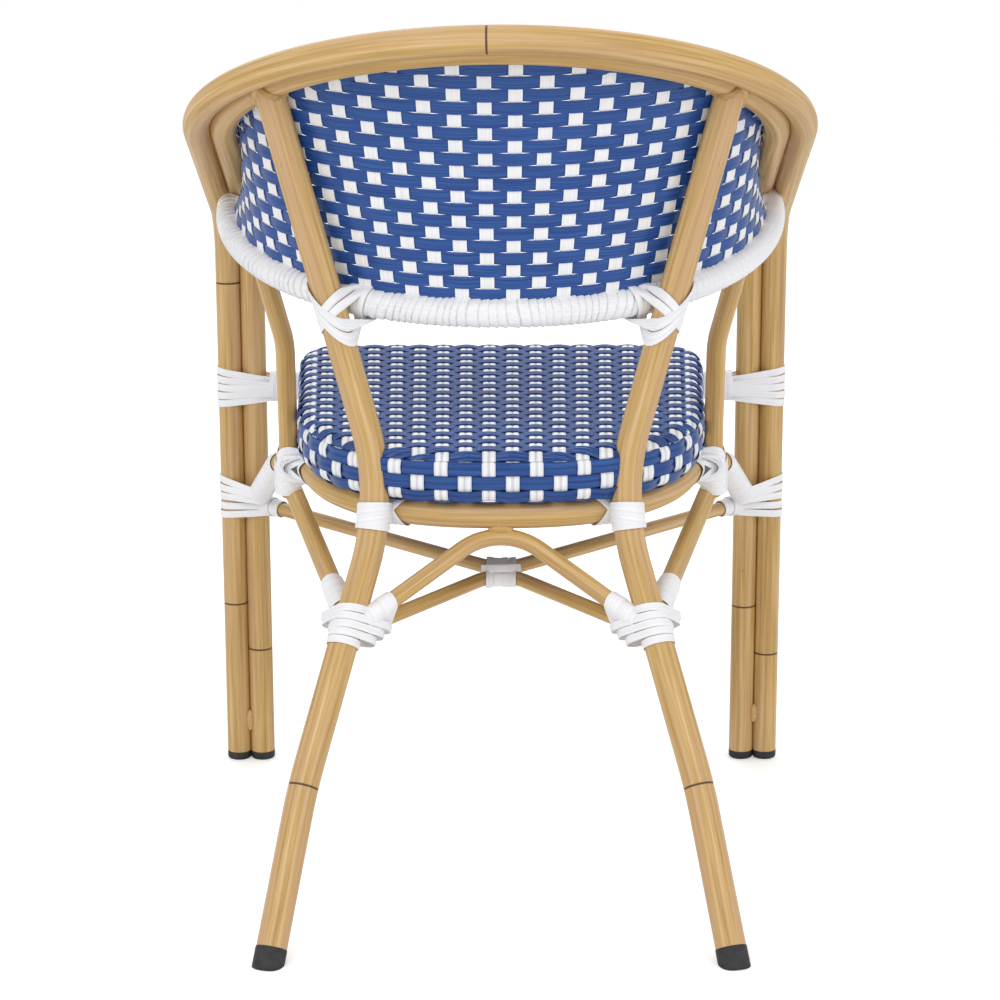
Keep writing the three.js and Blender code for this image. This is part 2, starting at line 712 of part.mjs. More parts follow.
// The cap of a rear leg stands along the leg and is cut off flat at the floor.
function rearCap() {
  const height = CAP_HEIGHT + LEG_END_HEIGHT;
  const turn = new THREE.Quaternion().setFromUnitVectors(UP, legFootAxis);
  const base = legEnd.clone().addScaledVector(legFootAxis, -GAP - height);
  const placed = new THREE.Matrix4().compose(base, turn, point(1, 1, 1));
  const floor = solidOf(new THREE.BoxGeometry(2 * OVERRUN, 2 * OVERRUN, OVERRUN)).translate([
    LEG_FOOT_SPREAD,
    LEG_FOOT_DEPTH,
    -OVERRUN / 2,
  ]);
  return cutAll(footCap(LEG_TUBE, height).transform(placed.elements), [floor]);
}

// Lashings: a flat strip wound round one or more tubes

const STRIP_SECTION = [STRIP_THICKNESS, STRIP_WIDTH];

function stripShape([thick, wide]) {
  return new THREE.Shape([
    new THREE.Vector2(-thick / 2, -wide / 2),
    new THREE.Vector2(thick / 2, -wide / 2),
    new THREE.Vector2(thick / 2, wide / 2),
    new THREE.Vector2(-thick / 2, wide / 2),
  ]);
}

const member = (route, diameter) => ({ route, radius: diameter / 2 });

// Where a tube crosses the plane at a height along the axis, nearest to the origin, and its direction there.
function crossing(route, origin, axis, height) {
  let found = null;
  let least = Infinity;
  for (let i = 1; i < route.length; i += 1) {
    const from = route[i - 1].clone().sub(origin).dot(axis) - height;
    const to = route[i].clone().sub(origin).dot(axis) - height;
    if (from === to || from * to > 0) continue;
    const at = route[i - 1].clone().lerp(route[i], from / (from - to));
    const away = at.distanceTo(origin);
    if (away < least) {
      least = away;
      found = { at, direction: route[i].clone().sub(route[i - 1]).normalize() };
    }
  }
  return found;
}

// How far a tube reaches outwards from the axis line, in the plane at a height along the axis.
function reachOf({ route, radius }, origin, axis, height, outward) {
  const found = crossing(route, origin, axis, height);
  if (!found) return -Infinity;
  const lean = Math.abs(found.direction.dot(axis));
  const sideways = found.direction.clone().addScaledVector(axis, -found.direction.dot(axis));
  const share = sideways.lengthSq() > 0 ? sideways.normalize().dot(outward) : 0;
  const half = radius * Math.hypot(share / lean, Math.sqrt(Math.max(0, 1 - share * share)));
  return found.at.sub(origin).dot(outward) + half;
}

// The height of a strip's middle at a turn, from a list of [turn, height] steps.
function heightAt(heights, turn) {
  const next = heights.findIndex(([at]) => at >= turn);
  if (next === 0) return heights[0][1];
  if (next < 0) return heights[heights.length - 1][1];
  const [fromTurn, from] = heights[next - 1];
  const [toTurn, to] = heights[next];
  return from + ((to - from) * (turn - fromTurn)) / (toTurn - fromTurn);
}

// The strip's middle line and outward normals: each step lies on a plane that just clears all the tubes.
function windingRoute({ members, origin, axis, facing, heights, gap = SLANT_GAP }) {
  const across = facing.clone().addScaledVector(axis, -facing.dot(axis)).normalize();
  const side = axis.clone().cross(across);
  const first = heights[0][0];
  const count = Math.round((heights[heights.length - 1][0] - first) * STRIP_STEPS);
  const step = (2 * Math.PI) / STRIP_STEPS;
  const planes = [];
  for (let i = 0; i <= count + 1; i += 1) {
    const turn = first + (i - 1 / 2) / STRIP_STEPS;
    const angle = 2 * Math.PI * turn;
    const outward = across.clone().multiplyScalar(Math.cos(angle)).addScaledVector(side, Math.sin(angle));
    const height = heightAt(heights, turn);
    const edges = [height - STRIP_WIDTH / 2, height + STRIP_WIDTH / 2];
    const reaches = members.flatMap((one) => edges.map((edge) => reachOf(one, origin, axis, edge, outward)));
    planes.push({ turn, angle, outward, reach: Math.max(...reaches) + gap + STRIP_THICKNESS / 2 });
  }
  const route = [];
  const normals = [];
  for (let i = 0; i <= count; i += 1) {
    const [one, next] = [planes[i], planes[i + 1]];
    const x = (one.reach * Math.sin(next.angle) - next.reach * Math.sin(one.angle)) / Math.sin(step);
    const y = (next.reach * Math.cos(one.angle) - one.reach * Math.cos(next.angle)) / Math.sin(step);
    const height = heightAt(heights, (one.turn + next.turn) / 2);
    route.push(
      origin.clone().addScaledVector(across, x).addScaledVector(side, y).addScaledVector(axis, height),
    );
    normals.push(one.outward.clone().add(next.outward).normalize());
  }
  return { route, normals };
}

// Evenly spaced turns, centred on the origin's height.
function evenHeights(turns, from = 0) {
  const half = (STRIP_PITCH * turns) / 2;
  return [
    [from, -half],
    [from + turns, half],
  ];
}

// One turn low and one turn high, joined by a slope that passes the tube's end on its far side.
const steppedHeights = (low, high) =>
  STEPPED_TURNS.map((turn, i) => [turn, i < STEPPED_TURNS.length / 2 ? low : high]);

// The least gap between two turns of a strip, measured between points on its middle line and its edges.
function leastSelfGap({ route, normals }) {
  const { binormals } = new Path(route, normals);
  const samples = [];
  for (let i = 1; i < route.length; i += 1) {
    for (let k = 0; k < GAP_SAMPLES; k += 1) {
      const share = k / GAP_SAMPLES;
      const middle = route[i - 1].clone().lerp(route[i], share);
      const wide = binormals[i - 1].clone().lerp(binormals[i], share).normalize();
      for (const edge of [-STRIP_WIDTH / 2, 0, STRIP_WIDTH / 2]) {
        samples.push({ step: i + share, at: middle.clone().addScaledVector(wide, edge) });
      }
    }
  }
  let least = Infinity;
  for (const one of samples) {
    for (const other of samples) {
      if (other.step - one.step < STRIP_STEPS / 2) continue;
      least = Math.min(least, one.at.distanceTo(other.at));
    }
  }
  return least;
}

const directionAt = (route, at) => {
  const i = route.reduce((best, p, k) => (p.distanceTo(at) < route[best].distanceTo(at) ? k : best), 0);
  const from = route[Math.max(i - 1, 0)];
  const to = route[Math.min(i + 1, route.length - 1)];
  return to.clone().sub(from).normalize();
};

// The middle of the place where two tubes pass each other.
function meeting(route, other) {
  const line = new THREE.Line3();
  const nearest = new THREE.Vector3();
  let least = Infinity;
  let found = null;
  const dense = densely(route, SEARCH_STEP);
  for (let i = 1; i < other.length; i += 1) {
    line.set(other[i - 1], other[i]);
    for (const p of dense) {
      line.closestPointToPoint(p, true, nearest);
      if (nearest.distanceTo(p) < least) {
        least = nearest.distanceTo(p);
        found = { one: p.clone(), other: nearest.clone() };
      }
    }
  }
  const origin = found.one.clone().lerp(found.other, 0.5);
  const along = directionAt(dense, found.one);
  const otherAlong = other
    .slice(1)
    .map((p, i) => p.clone().sub(other[i]))
    .reduce((best, part, i) => {
      const distance = other[i].clone().addScaledVector(part, 0.5).distanceTo(found.other);
      return distance < best.distance ? { distance, part } : best;
    }, { distance: Infinity, part: null });
  return { origin, along, otherAlong: otherAlong.part.normalize() };
}

// A lashing that crosses two tubes on the slant where they pass each other.
function slantLashing(one, other, turns) {
  const { origin, along, otherAlong } = meeting(one.route, other.route);
  if (along.dot(UP) < 0) along.negate();
  if (otherAlong.y < 0) otherAlong.negate();
  const axis = along.add(otherAlong).normalize();
  const facing = otherAlong.clone().cross(UP);
  return { members: [one, other], origin, axis, facing, heights: evenHeights(turns) };
}

// A binding round one tube or more near the place where they end, `distance` away from there.
function endBinding(members, end, axis, distance, turns) {
  const origin = end.clone().addScaledVector(axis, distance + (STRIP_WIDTH + STRIP_PITCH * turns) / 2);
  const gap = members.length > 1 ? SLANT_GAP : GAP;
  return { members, origin, axis, facing: UP.clone().cross(axis), heights: evenHeights(turns), gap };
}

const outwards = (route) => route[1].clone().sub(route[0]).normalize();
const frontLegs = [member(outerRoute, FRAME_TUBE), member(innerRoute, FRAME_TUBE)];
const leg = member(legRoute, LEG_TUBE);
const ring = member([...ringHalf, ...mirrored(ringHalf).reverse().slice(1)], RING_TUBE);
const wrappedRail = member(railRoute, RAIL_WRAPPED);
const support = member(supportRoute, SUPPORT_TUBE);
const sideArch = member(sideArchRoute, SIDE_ARCH_TUBE);
const rearArch = member(rearArchRoute, REAR_ARCH_TUBE);
const frontBrace = member(frontBraceRoute, BRACE_TUBE);
const rearBrace = member(rearBraceRoute, BRACE_TUBE);
const stub = member(stubRoute, STUB_TUBE);
const REAR = point(0, 1, 0);
const OUTER = point(1, 0, 0);
const legMiddle = point(INNER_SPREAD, 0, 0);

function besideMeeting(route, other, distance, turns) {
  const { origin } = meeting(route, other);
  const axis = directionAt(densely(route, SEARCH_STEP), origin);
  if (axis.y < 0) axis.negate();
  return endBinding([member(route, RING_TUBE)], origin, axis, distance, turns);
}

const rearLashOrigin = legPoint(REAR_LASH_HEIGHT);
const rearLashAxis = directionAt(legRoute, rearLashOrigin).negate();

const pairedWindings = {
  lash_upper: {
    members: frontLegs,
    origin: legMiddle,
    axis: UP,
    facing: REAR,
    heights: steppedHeights(STUB_HEIGHT - STUB_LASH_SPREAD, STUB_HEIGHT + STUB_LASH_SPREAD),
  },
  lash_lower: {
    members: frontLegs,
    origin: legMiddle,
    axis: UP,
    facing: OUTER,
    heights: steppedHeights(BRACE_FRONT_HEIGHT - BRACE_LASH_DROP, SIDE_ARCH_FRONT_HEIGHT + ARCH_LASH_RISE),
  },
  lash_rear_leg: {
    members: [leg],
    origin: rearLashOrigin,
    axis: rearLashAxis,
    facing: REAR,
    heights: [
      [REAR_LASH_TURNS[0], -REAR_LASH_FALL],
      [REAR_LASH_TURNS[1], 0],
      [REAR_LASH_TURNS[2], (REAR_LASH_TURNS[2] - REAR_LASH_TURNS[1]) * STRIP_PITCH],
    ],
  },
  lash_ring: slantLashing(leg, ring, CROSSING_TURNS),
  lash_side: slantLashing(support, ring, CROSSING_TURNS),
  lash_back: slantLashing(leg, wrappedRail, BACK_LASH_TURNS),
  wrap_stub: endBinding([stub], stubRoute[0], outwards(stubRoute), STUB_WRAP_START, STUB_TURNS),
  wrap_brace_front: endBinding(
    [frontBrace],
    frontBraceEnd,
    outwards(frontBraceRoute),
    BINDING_REACH,
    BINDING_TURNS,
  ),
  wrap_arch_front: endBinding(
    [sideArch],
    sideArchRoute[sideArchRoute.length - 1],
    outwards([...sideArchRoute].reverse()),
    BINDING_REACH,
    BINDING_TURNS,
  ),
  wrap_arch_rear: endBinding(
    [sideArch],
    sideArchRoute[0],
    outwards(sideArchRoute),
    BINDING_REACH,
    BINDING_TURNS,
  ),
  wrap_brace_rear: endBinding(
    [rearBrace, rearArch],
    rearBraceEnd,
    outwards(rearBraceRoute).add(outwards(rearArchRoute)).normalize(),
    PAIR_BINDING_REACH,
    SHORT_BINDING_TURNS,
  ),
  wrap_ring_rear: besideMeeting(ringHalf, legRoute, BINDING_REACH, SHORT_BINDING_TURNS),
  wrap_ring_side: besideMeeting(ringHalf, supportRoute, BINDING_REACH, SHORT_BINDING_TURNS),
};
const centreWinding = {
  members: [frontBrace, rearBrace],
  origin: meeting(frontBraceRoute, rearBraceRoute).origin.setX(0),
  axis: OUTER,
  facing: REAR,
  heights: evenHeights(CENTRE_TURNS),
};

function windingSolid(winding, grow = 0) {
  const { route, normals } = windingRoute(winding);
  return swept(stripShape(STRIP_SECTION.map((size) => size + 2 * grow)), route, normals);
}
const windingClear = (winding) => windingSolid(winding, GAP);

// The chair

const chair = new THREE.Group();
chair.name = "bistro_chair";
const add = (name, solid, finish) => chair.add(meshOf(name, solid, finish));
function addPair(name, solid, finish) {
  add(name + "_left", solid, finish);
  add(name + "_right", otherSide(solid), finish);
}

add("outer_frame_tube", frameTube(outerRoute), TAN);
add("inner_frame_tube", frameTube(innerRoute), TAN);
const legBore = boreAt(legEnd, legFootAxis, LEG_TUBE);
addPair("rear_leg", cutAll(tube(legRoute, LEG_TUBE), [outerClear, innerClear, rodClear, legBore]), TAN);

const frameClear = [outerClear, innerClear];
const railCore = tube(railRoute, RAIL_TUBE);
const sleeve = tube(railRoute, RAIL_WRAPPED).subtract(clearance(railRoute, RAIL_TUBE));
add("lower_back_rail", cutAll(railCore, frameClear), TAN);
add("back_rail_wrapping", cutAll(sleeve, frameClear), WHITE);

add("seat_ring", closedRing(ringHalf, roundSection(RING_TUBE / 2, TUBE_SIDES)), TAN);
add("seat_frame", seatFrame, TAN);
[-1, 1].forEach((side, i) => {
  const y = SEAT_MIDDLE + (side * CROSS_BAR_SPACING) / 2;
  const bar = cutAll(smallTube(crossBarRoute(y), CROSS_BAR_TUBE), [seatFrameClear]);
  add("seat_cross_bar_" + ["front", "rear"][i], bar, TAN);
});

const { lash_ring: lashRing, lash_side: lashSide, lash_back: lashBack } = pairedWindings;
add("woven_seat", wovenSeat([lashRing, lashSide].map(windingClear)), BLUE);
add("woven_back", wovenBack([windingClear(lashBack)]), BLUE);
add("back_top_rod", cutAll(smallTube(rodRoute, WEAVE_ROD), [railClear]), TAN);

const rearLegsClear = bothSides(legClear);
add("brace_front", cutAll(smallTube(frontBraceRoute, BRACE_TUBE), [innerClear]), TAN);
add("brace_rear", cutAll(smallTube(rearBraceRoute, BRACE_TUBE), rearLegsClear), TAN);

const braceRoutes = [frontBraceRoute, rearBraceRoute];
const bracesClear = braceRoutes.map((route) => clearance(route, BRACE_TUBE, SMALL_TUBE_SIDES));
const ringAndBraces = [ringClear, ...bracesClear];
const rearArchTube = smallTube(rearArchRoute, REAR_ARCH_TUBE);
add("arch_rear", cutAll(rearArchTube, [...rearLegsClear, ...ringAndBraces]), TAN);
const sideArchTube = smallTube(sideArchRoute, SIDE_ARCH_TUBE);
addPair("arch", cutAll(sideArchTube, [legClear, innerClear, ...ringAndBraces]), TAN);
const supportTube = smallTube(supportRoute, SUPPORT_TUBE);
addPair("arm_support", cutAll(supportTube, [sideArchClear, railClear, ringClear]), TAN);
addPair("seat_stub", cutAll(tube(stubRoute, STUB_TUBE), [innerClear, seatFrameClear]), TAN);

addPair("foot_cap_outer", frontCap(LOOP_HALF_WIDTH), BLACK);
addPair("foot_cap_inner", frontCap(INNER_SPREAD), BLACK);
addPair("foot_cap_rear", rearCap(), BLACK);

for (const [name, winding] of Object.entries(pairedWindings)) {
  const slanted = [lashBack, lashRing, lashSide].includes(winding);
  addPair(name, cutAll(windingSolid(winding), slanted ? [railClear, ringClear] : []), WHITE);
  console.log(name, "least gap to itself", leastSelfGap(windingRoute(winding)).toFixed(2), "mm");
}
add("lash_centre", windingSolid(centreWinding), WHITE);
console.log("lash_centre least gap to itself", leastSelfGap(windingRoute(centreWinding)).toFixed(2), "mm");

// Move the origin to the floor under the middle of the box.
const box = new THREE.Box3().setFromObject(chair);
const middle = box.getCenter(new THREE.Vector3());
chair.position.set(-middle.x, -middle.y, -box.min.z);

export default chair;
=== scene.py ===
"""A bistro armchair: bent tube painted to look like bamboo, a woven back and seat, and strip lashings.

Lengths are metres, +Z is up and the chair faces -Y. The routes are worked out with y = 0 on the line of
the front legs, as the solids are, and every mesh is then moved by the place of the front foot caps.
"left" is the sitter's left, on the +X side.
"""

from __future__ import annotations

import logging
import math
from dataclasses import dataclass, replace
from enum import Enum, IntEnum
from typing import Callable, Sequence

import bpy
import numpy as np
from mathutils import Matrix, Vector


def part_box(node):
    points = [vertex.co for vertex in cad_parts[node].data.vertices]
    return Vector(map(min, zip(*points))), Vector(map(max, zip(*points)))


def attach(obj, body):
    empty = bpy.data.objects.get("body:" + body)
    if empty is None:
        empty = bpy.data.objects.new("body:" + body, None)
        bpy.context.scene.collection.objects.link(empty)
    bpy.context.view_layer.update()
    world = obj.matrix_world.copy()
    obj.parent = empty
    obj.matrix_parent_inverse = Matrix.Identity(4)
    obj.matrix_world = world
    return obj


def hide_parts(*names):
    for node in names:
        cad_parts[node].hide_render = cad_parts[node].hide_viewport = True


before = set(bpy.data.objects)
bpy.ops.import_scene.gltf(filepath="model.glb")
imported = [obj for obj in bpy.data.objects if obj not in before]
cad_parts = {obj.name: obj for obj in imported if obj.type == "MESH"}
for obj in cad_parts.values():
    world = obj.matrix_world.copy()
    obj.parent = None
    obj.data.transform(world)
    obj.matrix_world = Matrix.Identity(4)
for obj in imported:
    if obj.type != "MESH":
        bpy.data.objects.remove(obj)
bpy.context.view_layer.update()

LOG = logging.getLogger("bistro_chair")
Array = np.ndarray
Tree = bpy.types.NodeTree
Node = bpy.types.Node
Socket = bpy.types.NodeSocket
Pair = tuple[float, float]
norm = np.linalg.norm
PI = math.pi
MM = 0.001
UP = np.array([0.0, 0.0, 1.0])
OUTER = np.array([1.0, 0.0, 0.0])
REAR = np.array([0.0, 1.0, 0.0])
MIRROR = np.array([-1.0, 1.0, 1.0])
PHOTO_WIDTH = 1000

SHARP_ANGLE = math.radians(50)
HALVINGS = 30
SEARCH_STEP = 4 * MM
FINE_STEP = 1 * MM
COPE_MARGIN = 1 * MM
BEAD_SIDES = 8
UNDER_POINTS = 3
SHADE_SHIFT = (31, 17, 53)
ROW_SHADE = 0.37
COLUMN_SHADE = 0.61

GAP = 0.3 * MM
FRAME_TUBE = 25 * MM
LEG_TUBE = 28 * MM
RAIL_TUBE = 24 * MM
RING_TUBE = 25 * MM
SUPPORT_TUBE = 19 * MM
SIDE_ARCH_TUBE = 19 * MM
REAR_ARCH_TUBE = 16 * MM
BRACE_TUBE = 14 * MM
STUB_TUBE = 25 * MM
WEAVE_ROD = 5 * MM


# Vectors and routes


def unit(vectors: Array) -> Array:
    """Vectors divided by their lengths."""
    return vectors / norm(vectors, axis=-1, keepdims=True)


def vec(x: Array | float, y: Array | float, z: Array | float) -> Array:
    """A point from its coordinates, or one point for each of their values."""
    return np.stack([*np.broadcast_arrays(x, y, z)], axis=-1).astype(float)


def fillet(corners: Sequence[Array], radii: Sequence[float], steps: int = 16) -> Array:
    """Rounds the inner corners of a line.

    The arc's centre lies radius / sin(half angle) along the corner's bisector, and its points are
    centre + radius * (sin(turn) * side - cos(turn) * bisector).

    Args:
        corners: the line's points.
        radii: one radius for each inner corner.
        steps: the number of steps of each arc.

    Returns:
        The points of the rounded line.
    """
    parts = [corners[0]]
    for before, corner, after, radius in zip(corners, corners[1:], corners[2:], radii):
        back = unit(before - corner)
        ahead = unit(after - corner)
        half = math.acos(float(np.clip(back @ ahead, -1, 1))) / 2
        bisector = unit(back + ahead)
        side = unit(ahead - back)
        centre = corner + bisector * radius / math.sin(half)
        turn = np.linspace(-1, 1, steps + 1)[:, None] * (PI / 2 - half)
        parts.append(centre + radius * (np.sin(turn) * side - np.cos(turn) * bisector))
    parts.append(corners[-1])
    return np.vstack(parts)


def oval_shares(angle: Array, squareness: float) -> tuple[Array, Array]:
    """The shares of the half width and half depth of a superellipse at an angle: sign(c) * |c| ^ (2 / q)."""
    c, s = np.cos(angle), np.sin(angle)
    return (
        np.sign(c) * np.abs(c) ** (2 / squareness),
        np.sign(s) * np.abs(s) ** (2 / squareness),
    )


class Route:
    """A centre line with its lengths, tangents and steady normals.

    A station's tangent is the mean of the directions of the steps beside it. A normal is the one before
    it with its part along the tangent taken out, so that the normals never twist round the line.
    """

    def __init__(self, points: Array, normals: Array | None = None, closed: bool = False) -> None:
        """Args:
        points: the stations.
        normals: wished normals, or None for steady ones.
        closed: whether the line's end joins its start.
        """
        self.points = np.asarray(points, float)
        self.closed = closed
        steps = np.diff(self.points, axis=0)
        self.lengths = np.concatenate([[0.0], np.cumsum(norm(steps, axis=1))])
        directions = unit(steps)
        if closed:
            closing = unit(self.points[0] - self.points[-1])[None]
            before = np.vstack([closing, directions])
            after = np.vstack([directions, closing])
        else:
            before = np.vstack([directions[:1], directions])
            after = np.vstack([directions, directions[-1:]])
        self.tangents = unit(before + after)
        wished = self._steady() if normals is None else np.broadcast_to(normals, self.points.shape)
        along = np.sum(wished * self.tangents, axis=1, keepdims=True)
        self.normals = unit(wished - along * self.tangents)
        self.binormals = np.cross(self.tangents, self.normals)

    def _steady(self) -> Array:
        """Normals carried from station to station.

        Returns:
            One normal for each station.
        """
        spare = OUTER if abs(self.tangents[0][0]) < 0.9 else REAR
        normal = unit(np.cross(spare, self.tangents[0]))
        normals = []
        for tangent in self.tangents:
            normal = unit(normal - (normal @ tangent) * tangent)
            normals.append(normal)
        return np.array(normals)

    def at(self, lengths: Array | float) -> Array:
        """The points at given lengths from the start."""
        return np.stack([np.interp(lengths, self.lengths, self.points[:, i]) for i in range(3)], axis=-1)

    def where(self, axis: int, value: float) -> Array:
        """The first point whose coordinate has a value.

        Args:
            axis: 0, 1 or 2 for x, y or z.
            value: the wished coordinate.

        Returns:
            The point, between two stations.
        """
        side = self.points[:, axis] - value
        i = int(np.flatnonzero(side[:-1] * side[1:] <= 0)[0])
        share = side[i] / (side[i] - side[i + 1])
        return self.points[i] + share * (self.points[i + 1] - self.points[i])

    def length_at(self, point: Array) -> float:
        """The length from the start to the station nearest to a point."""
        return float(self.lengths[np.argmin(norm(self.points - point, axis=1))])

    def mirrored(self) -> "Route":
        """The same line on the other side of the chair, run the same way."""
        return Route(self.points * MIRROR, None, self.closed)

    def reversed(self) -> "Route":
        """The same line run the other way."""
        return Route(self.points[::-1], None, self.closed)

    def dense(self, step: float) -> "Route":
        """The line with stations at about one step from each other."""
        count = max(2, int(self.lengths[-1] / step) + 1)
        return Route(self.at(np.linspace(0, self.lengths[-1], count)))


def gap_between(points: Array, other: Array) -> float:
    """The least distance from points to a line's steps: each foot is clipped to its step.

    Args:
        points: the points of one line.
        other: the stations of the other line.

    Returns:
        The distance.
    """
    start, step = other[:-1], np.diff(other, axis=0)
    away = points[:, None] - start[None]
    share = np.clip(np.sum(away * step, axis=2) / np.sum(step * step, axis=1), 0, 1)
    return float(norm(away - share[..., None] * step, axis=2).min())


def touching(
    route_at: Callable[[float], Array], other: Array, reach: float, deep: float, clear: float
) -> float:
    """Halves the span between a deep and a clear value until the two lines lie `reach` apart.

    Args:
        route_at: gives the moving line for a value.
        other: the line that it has to touch.
        reach: the distance between the two at touch.
        deep: a value at which they cut each other.
        clear: a value at which they don't.

    Returns:
        The value at which they touch.
    """
    for _ in range(HALVINGS):
        middle = (deep + clear) / 2
        if gap_between(Route(route_at(middle)).dense(SEARCH_STEP).points, other) < reach:
            deep = middle
        else:
            clear = middle
    return clear


# Meshes


@dataclass
class Surface:
    """A grid of points that is closed round its section, with values for its material.

    Attributes:
        points: stations by section points by 3.
        grain: the place on the strand or tube, in metres: two coordinates round it and one along it.
        ring: 1 on a painted ring line and 0 elsewhere, by station and section point; on welds it is their
            burnt colour, and on strips and straps it is painted shade in their grooves.
        shade: one random value for the whole surface.
        closed: whether the last station joins the first.
    """

    points: Array
    grain: Array
    ring: Array | None = None
    shade: float = 0.5
    closed: bool = False

    def faces(self, start: int) -> list[list[int]]:
        """The quads of the grid and, where it is open, its two end faces.

        Args:
            start: the index of the surface's first point in the mesh.

        Returns:
            The faces as lists of point indices.
        """
        count, around = self.points.shape[:2]
        i = np.arange(count if self.closed else count - 1)[:, None] * around
        j = np.arange(around)[None]
        ahead = (i + around) % (count * around)
        beside = (j + 1) % around
        quads = np.stack([i + j, i + beside, ahead + beside, ahead + j], axis=-1)
        listed = (quads.reshape(-1, 4) + start).tolist()
        if not self.closed:
            listed.append(list(range(start + around - 1, start - 1, -1)))
            last = start + (count - 1) * around
            listed.append(list(range(last, last + around)))
        return listed


def swept(route: Route, section: Array, **values: object) -> Surface:
    """A section carried along a route: point + normal * u + binormal * v for each section point (u, v).

    Args:
        route: the centre line.
        section: section points by 2, or stations by section points by 2, run from normal to binormal.
        values: shade, ring and closed of the surface.

    Returns:
        The surface, whose grain is the section point and the length along the route.
    """
    section = np.broadcast_to(section, (len(route.points), *np.shape(section)[-2:]))
    points = (
        route.points[:, None]
        + route.normals[:, None] * section[..., :1]
        + route.binormals[:, None] * section[..., 1:]
    )
    along = np.broadcast_to(route.lengths[:, None, None], (*section.shape[:2], 1))
    grain = np.concatenate([section, along], axis=2)
    return Surface(points, grain, closed=route.closed, **values)


def round_section(radius: float, sides: int = 32) -> Array:
    """The corners of a regular polygon: radius * (cos, sin)."""
    angle = 2 * PI * np.arange(sides) / sides
    return radius * np.stack([np.cos(angle), np.sin(angle)], axis=-1)


class Look(Enum):
    """A finish of the chair, with the record's slot that it belongs to."""

    BAMBOO = ("bamboo_paint", "bamboo_look")
    RUBBER = ("rubber", "foot_cap")
    WHITE_STRIP = ("white_strip", "white_strip")
    WHITE_WEAVE = ("white_weave", "white_strip")
    BLUE_WEAVE = ("blue_weave", "blue_weave")
    # Painted shade: the dark fill inside the seat, which stands for the shadow between the straps.
    DARK_WEAVE = ("dark_weave", "blue_weave")


MATERIALS: dict[Look, bpy.types.Material] = {}


def linked(name: str, data: bpy.types.ID) -> bpy.types.Object:
    """Puts a new object into the scene.

    Args:
        name: its name.
        data: the mesh, lamp or camera that it shows.

    Returns:
        The object.
    """
    made = bpy.data.objects.new(name, data)
    bpy.context.scene.collection.objects.link(made)
    return made


def piece(name: str, surfaces: Sequence[Surface], look: Look, node: str) -> None:
    """Makes one visible piece from its surfaces, puts it at the origin, parents it to the root body and hides
    its solid.

    Args:
        name: the piece's name.
        surfaces: its closed surfaces.
        look: its finish, whose material the piece gets.
        node: the solid that it stands for.
    """
    points, faces, grain, ring, shade = [], [], [], [], []
    start = 0
    for surface in surfaces:
        flat = surface.points.reshape(-1, 3)
        points.append(flat)
        faces += surface.faces(start)
        grain.append(surface.grain.reshape(-1, 3))
        lines = surface.ring if surface.ring is not None else np.zeros(surface.points.shape[:2])
        ring.append(lines.reshape(-1))
        shade.append(np.full(len(flat), surface.shade))
        start += len(flat)
    moved = np.vstack(points) + FRONT_LINE
    mesh = bpy.data.meshes.new(name)
    mesh.from_pydata(moved.tolist(), [], faces)
    mesh.update()
    mesh.polygons.foreach_set("use_smooth", np.ones(len(mesh.polygons), bool))
    mesh.set_sharp_from_angle(angle=SHARP_ANGLE)
    mesh.attributes.new("grain", "FLOAT_VECTOR", "POINT").data.foreach_set("vector", np.vstack(grain).ravel())
    mesh.attributes.new("ring", "FLOAT", "POINT").data.foreach_set("value", np.concatenate(ring))
    mesh.attributes.new("shade", "FLOAT", "POINT").data.foreach_set("value", np.concatenate(shade))
    made = linked(name, mesh)
    mesh.materials.append(MATERIALS[look])
    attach(made, "root")
    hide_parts(node)
    LOG.info("%s: %d faces", name, len(mesh.polygons))


def pair(name: str, surfaces: Sequence[Surface], look: Look) -> None:
    """Makes a left piece and its mirror image, which stand for the two solids of the same name."""
    for side, made in (("_left", surfaces), ("_right", [flipped(surface) for surface in surfaces])):
        piece(name + side, made, look, name + side)


def flipped(surface: Surface) -> Surface:
    """A surface's mirror image, with its section run the other way so that it still faces out."""
    ring = None if surface.ring is None else surface.ring[:, ::-1]
    return Surface(
        surface.points[:, ::-1] * MIRROR, surface.grain[:, ::-1], ring, surface.shade, surface.closed
    )


# Tubes


